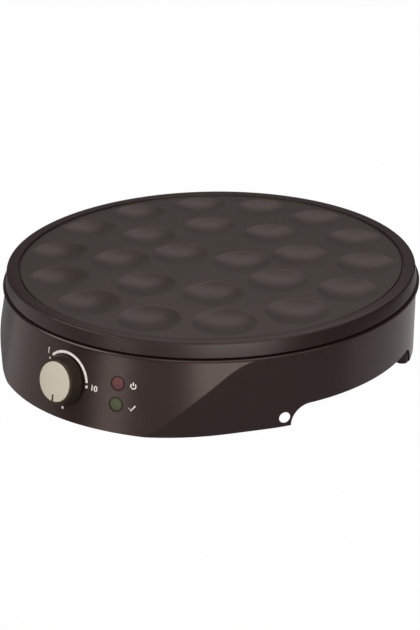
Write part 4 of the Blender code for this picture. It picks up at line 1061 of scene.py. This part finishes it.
def number(digits, height, middle):
    """A plain number as a flat mesh."""
    bpy.ops.object.text_add()
    writing = bpy.context.active_object
    writing.data.body = digits
    writing.data.size = height
    writing.data.offset = DIGIT_BOLDNESS
    writing.data.align_x = "CENTER"
    writing.data.align_y = "CENTER"
    only(writing)
    bpy.ops.object.convert(target="MESH")
    return place(bpy.context.active_object, Matrix.Translation(middle))


print("a band of a full circle has", BAND_STEPS, "faces")

# %% [markdown]
# The ink is laid by a Shrinkwrap that projects each point along the sheet's own Z onto the casing. A
# nearest point would pull the marks together where the panel curves. A Solidify then gives the sheet its
# thickness.

# %% Laying the print
INK = 0.00006


def lay(name, marks, wall_place):
    """Join flat marks, lay them on the panel and give them the thickness of ink."""
    only(*marks)
    bpy.ops.object.join()
    sheet = bpy.context.active_object
    sheet.name = name
    sheet.matrix_world = wall_place
    apply_modifier(sheet, "SHRINKWRAP", target=casing, wrap_method="PROJECT", use_project_z=True,
                   use_negative_direction=True, use_positive_direction=True, offset=INK)
    apply_modifier(sheet, "SOLIDIFY", thickness=INK, offset=0)
    bpy.ops.object.transform_apply(location=True, rotation=True, scale=True)
    bpy.ops.object.mode_set(mode="EDIT")
    leave(sheet)
    dress(sheet, "white_print", "appliance")


print(f"the ink is {INK * MM_PER_M:.2f} mm thick")

# %% [markdown]
# The arc runs round the knob from the upper left to the right, with a dot past each end and a third one below
# the knob, where its pointer rests. The numbers stand where the knob doesn't hide them. Clock angles place
# the arc and the dots, because they all lie on one circle round the shaft.

# %% Dial print
SCALE_RADIUS = 0.0191
SCALE_LINE = 0.0018
SCALE_START, SCALE_END = -44, 80
START_DOT_ANGLE, END_DOT_ANGLE, OFF_DOT_ANGLE = -55, 89, 176
DOT_RADIUS = 0.001
START_DOT_RADIUS = 0.0008
DIGIT_SIZE = 0.0056
START_NUMBER = Vector((-0.0176, 0.0158, 0))
END_NUMBER = Vector((0.0248, 0.0006, 0))

lay("dial_print", [
    band("scale_line", SCALE_RADIUS, SCALE_LINE, SCALE_START, SCALE_END),
    dot("scale_start", START_DOT_RADIUS, at_clock(START_DOT_ANGLE, SCALE_RADIUS)),
    dot("scale_end", DOT_RADIUS, at_clock(END_DOT_ANGLE, SCALE_RADIUS)),
    dot("scale_off", DOT_RADIUS, at_clock(OFF_DOT_ANGLE, SCALE_RADIUS)),
    number("1", DIGIT_SIZE, START_NUMBER),
    number("10", DIGIT_SIZE, END_NUMBER),
], knob_place)

# %% [markdown]
# Beside the upper lamp is a broken ring with a stem, and beside the lower one a tick. Both signs are put
# together from bands and bars of one line width, so that they need no font and match the arc in style.

# %% Lamp signs
SIGN_LINE = 0.0008
SIGN_PLACES = {"power": (19.6, 0.0356), "ready": (19.4, 0.0208)}
POWER_RADIUS = 0.0018
POWER_OPENING = 42
STEM_LOW = Vector((0, 0.0002, 0))
STEM_HIGH = Vector((0, 0.0026, 0))
TICK_START = Vector((-0.002, 0.0002, 0))
TICK_CORNER = Vector((-0.0005, -0.0016, 0))
TICK_END = Vector((0.0025, 0.002, 0))

lay("power_sign", [
    band("power_loop", POWER_RADIUS, SIGN_LINE, -HALF_TURN, -POWER_OPENING),
    band("power_loop_right", POWER_RADIUS, SIGN_LINE, POWER_OPENING, HALF_TURN),
    bar("power_stem", STEM_LOW, STEM_HIGH, SIGN_LINE),
], panel_frame(*SIGN_PLACES["power"]))
lay("ready_sign", [
    bar("tick_short", TICK_START, TICK_CORNER, SIGN_LINE),
    bar("tick_long", TICK_CORNER, TICK_END, SIGN_LINE),
    dot("tick_corner", SIGN_LINE / 2, TICK_CORNER),
], panel_frame(*SIGN_PLACES["ready"]))

# %% [markdown]
# ## Feet, posts and cord bush
#
# Four rubber feet carry the appliance. Each is a round pad with a plug that holds it in a leg of the base,
# and a dished face that grips the table. One pattern is stepped out of a cylinder and copied four times,
# and the frame says where each foot goes.

# %% Feet
FOOT_STEPS = 48
FOOT_RADIUS = 0.01
FOOT_THICKNESS = 0.003
FOOT_FACE_ROUNDING = 0.0008
FOOT_RING = 0.003
FOOT_DISH = 0.0004
PLUG_RADIUS = 0.0042
PLUG_LENGTH = 0.006

foot = cylinder("foot_pattern", FOOT_STEPS, FOOT_RADIUS, 0, FOOT_THICKNESS)
pick("FACE", at_height(FOOT_THICKNESS))
step_in(FOOT_RADIUS - PLUG_RADIUS, PLUG_LENGTH)
pick("FACE", at_height(0))
step_in(FOOT_RING, -FOOT_DISH)
soften(FOOT_RADIUS, 0, FOOT_FACE_ROUNDING, FINE_STEPS)
leave(foot)
for corner in ("front_left", "front_right", "rear_left", "rear_right"):
    low, high = (Vector(end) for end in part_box("foot_" + corner))
    middle = (low + high) / 2
    piece = place(copy_of(foot, corner + "_pad"), Matrix.Translation((middle.x, middle.y, 0)))
    dress(piece, "foot_rubber", "appliance", "foot_" + corner)
bpy.data.objects.remove(foot)

# %% [markdown]
# Behind the rear end of each side gap a round post of the moulding shows. It is a plain pin that reaches up
# into the dark of the casing, so a cylinder with a rounded lower end is enough for it.

# %% Posts of the side gaps
POST_STEPS = 48
POST_RADIUS = 0.0049
POST_CIRCLE = 0.1456
POST_AZIMUTH = 110
POST_BOTTOM = 0.0015
POST_TOP = 0.022
POST_ROUNDING = 0.001

post = cylinder("post_pattern", POST_STEPS, POST_RADIUS, POST_BOTTOM, POST_TOP)
soften(POST_RADIUS, POST_BOTTOM, POST_ROUNDING)
leave(post)
for azimuth, name in ((-POST_AZIMUTH, "left_gap_post"), (POST_AZIMUTH, "right_gap_post")):
    spot = towards(azimuth) * POST_CIRCLE
    piece = place(copy_of(post, name), Matrix.Translation((spot.x, spot.y + axis_y, 0)))
    dress(piece, "casing_plastic", "appliance")
bpy.data.objects.remove(post)

# %% [markdown]
# At the back a bush lines the hole for the cord, so that the edge of the wall can't rub it. It is a sleeve
# with a flange outside the wall, and its two outer edges are well rounded.

# %% Cord bush
BUSH_STEPS = 64
CORD_BORE = 0.0036
BUSH_RADIUS = 0.0056
BUSH_FLANGE_RADIUS = 0.0082
BUSH_FLANGE = 0.0022
BUSH_INNER_LENGTH = 0.0084
BUSH_SEAT = 0.0002
BUSH_ROUNDING = 0.0007

bush_out = BUSH_SEAT + BUSH_FLANGE
bush = sleeve("cord_bush", BUSH_STEPS, [
    (BUSH_RADIUS, -BUSH_INNER_LENGTH),
    (BUSH_RADIUS, BUSH_SEAT),
    (BUSH_FLANGE_RADIUS, BUSH_SEAT),
    (BUSH_FLANGE_RADIUS, bush_out),
    (CORD_BORE, bush_out),
    (CORD_BORE, -BUSH_INNER_LENGTH),
])
soften(BUSH_FLANGE_RADIUS, bush_out, BUSH_ROUNDING, FINE_STEPS)
soften(CORD_BORE, bush_out, BUSH_ROUNDING, FINE_STEPS)
leave(bush)
place(bush, wall_frame(HALF_TURN, INLET_HEIGHT))
dress(bush, "base_plastic", "appliance", "cord_gland")

# %% [markdown]
# ## Floor, world and lamps
#
# The ground of the picture is plain white. More light would wash out the dark plastic, so the floor and the
# world are white to the camera alone: a Light Path node tells its rays from the others. For the camera a
# hundredth of the floor stays matt paper, which keeps a faint shadow. Glossy rays pass through the floor,
# since the panel would mirror it as a grey band.

# %% Floor
FLOOR_SIZE = 6
FLOOR_GREY = 0.35
FLOOR_GLOW_SHARE = 0.99

scene = bpy.context.scene
scene.view_settings.view_transform = "Standard"
bpy.ops.mesh.primitive_plane_add(size=FLOOR_SIZE)
floor = bpy.context.active_object
floor.name = "floor"
floor.visible_glossy = False

paper = Finish("floor_paper")
seen = paper.node("ShaderNodeLightPath", output="Is Camera Ray")
matt = paper.node("ShaderNodeBsdfDiffuse", inputs={"Color": rgb(FLOOR_GREY, FLOOR_GREY, FLOOR_GREY)})
glow = paper.node("ShaderNodeEmission", inputs={"Strength": 1})
both = paper.node("ShaderNodeMixShader", inputs={0: seen * FLOOR_GLOW_SHARE, 1: matt, 2: glow})
paper.feed(paper.tree.nodes["Material Output"].inputs["Surface"], both)
paper.tree.nodes.remove(paper.shader)
floor.data.materials.append(paper.material)
print("the floor is", FLOOR_SIZE, "m wide")

# %% [markdown]
# The world gives the rest of the room. It is dim above, and brighter far below the horizon, where the panel
# mirrors it as it would a pale table. The height of a ray is the sine of its elevation, and a Map Range
# node turns it into a level. A second one switches to white for the camera.

# %% World
WORLD_LEVEL = 0.07
GROUND_LEVEL = 0.3
GROUND_SINE = -0.32
HORIZON_SINE = -0.15

world = bpy.data.worlds.new("studio")
world.use_nodes = True
scene.world = world
sky = NodeTree(world.node_tree)
ray = sky.node("ShaderNodeTexCoord", output="Generated")
sine = sky.node("ShaderNodeSeparateXYZ", inputs={"Vector": ray}, output="Z")
room = sky.node("ShaderNodeMapRange", inputs={
    "Value": sine,
    "From Min": GROUND_SINE,
    "From Max": HORIZON_SINE,
    "To Min": GROUND_LEVEL,
    "To Max": WORLD_LEVEL,
})
seen = sky.node("ShaderNodeLightPath", output="Is Camera Ray")
strength = sky.node("ShaderNodeMapRange", inputs={"Value": seen, "To Min": room, "To Max": 1})
background = sky.tree.nodes["Background"]
sky.feed(background.inputs["Color"], rgb(1, 1, 1))
sky.feed(background.inputs["Strength"], strength)
print("the room is at", WORLD_LEVEL, "above and", GROUND_LEVEL, "below")

# %% [markdown]
# A dark glossy piece shows mostly what it mirrors, so the lamps are placed for their reflections. The low
# ones in front draw the pale streaks on the panel and light the skirt. The high ones lie on the plate, and
# the ones behind give its field a sheen at a flat angle. Each level is the brightness of the lamp's face,
# so that a lamp can change its size and its streak stays as bright.

# %% Studio lamps
WARM = (1, 0.90, 0.84)
ROSY = (1, 0.86, 0.84)
# name: azimuth, elevation, distance, width, height, level, colour
LAMPS = {
    "key": (50, 10, 1.35, 1.0, 0.76, 3.7, WARM),
    "strip": (-7, 6, 1.4, 0.34, 0.9, 2.4, WARM),
    "sheen": (20, 5, 1.4, 0.9, 0.9, 0.35, WARM),
    "top": (125, 68, 1.5, 1.0, 1.0, 1.5, WARM),
    "brow": (39, 60, 1.4, 1.2, 0.9, 1.5, WARM),
    "back": (206, 46, 1.5, 1.2, 0.6, 1.25, ROSY),
    "far": (226, 9, 1.5, 1.6, 0.4, 0.15, WARM),
    "front": (-45, 40, 1.5, 0.9, 0.7, 3.8, WARM),
    "low": (-62, -8, 1.5, 1.5, 0.7, 0.52, WARM),
    "right": (158, -24, 1.5, 2.4, 0.7, 0.3, WARM),
}

for name, (azimuth, elevation, distance, width, height, level, colour) in LAMPS.items():
    direction = towards(azimuth, elevation)
    bpy.ops.object.light_add(type="AREA", location=target + distance * direction)
    lamp = bpy.context.active_object
    lamp.name = name + "_light"
    lamp.data.shape = "RECTANGLE"
    lamp.data.color = colour
    lamp.data.size = width
    lamp.data.size_y = height
    lamp.data.energy = level * math.pi * width * height
    lamp.visible_camera = False
    lamp.rotation_euler = direction.to_track_quat("Z", "Y").to_euler()
print("lights:", ", ".join(LAMPS))
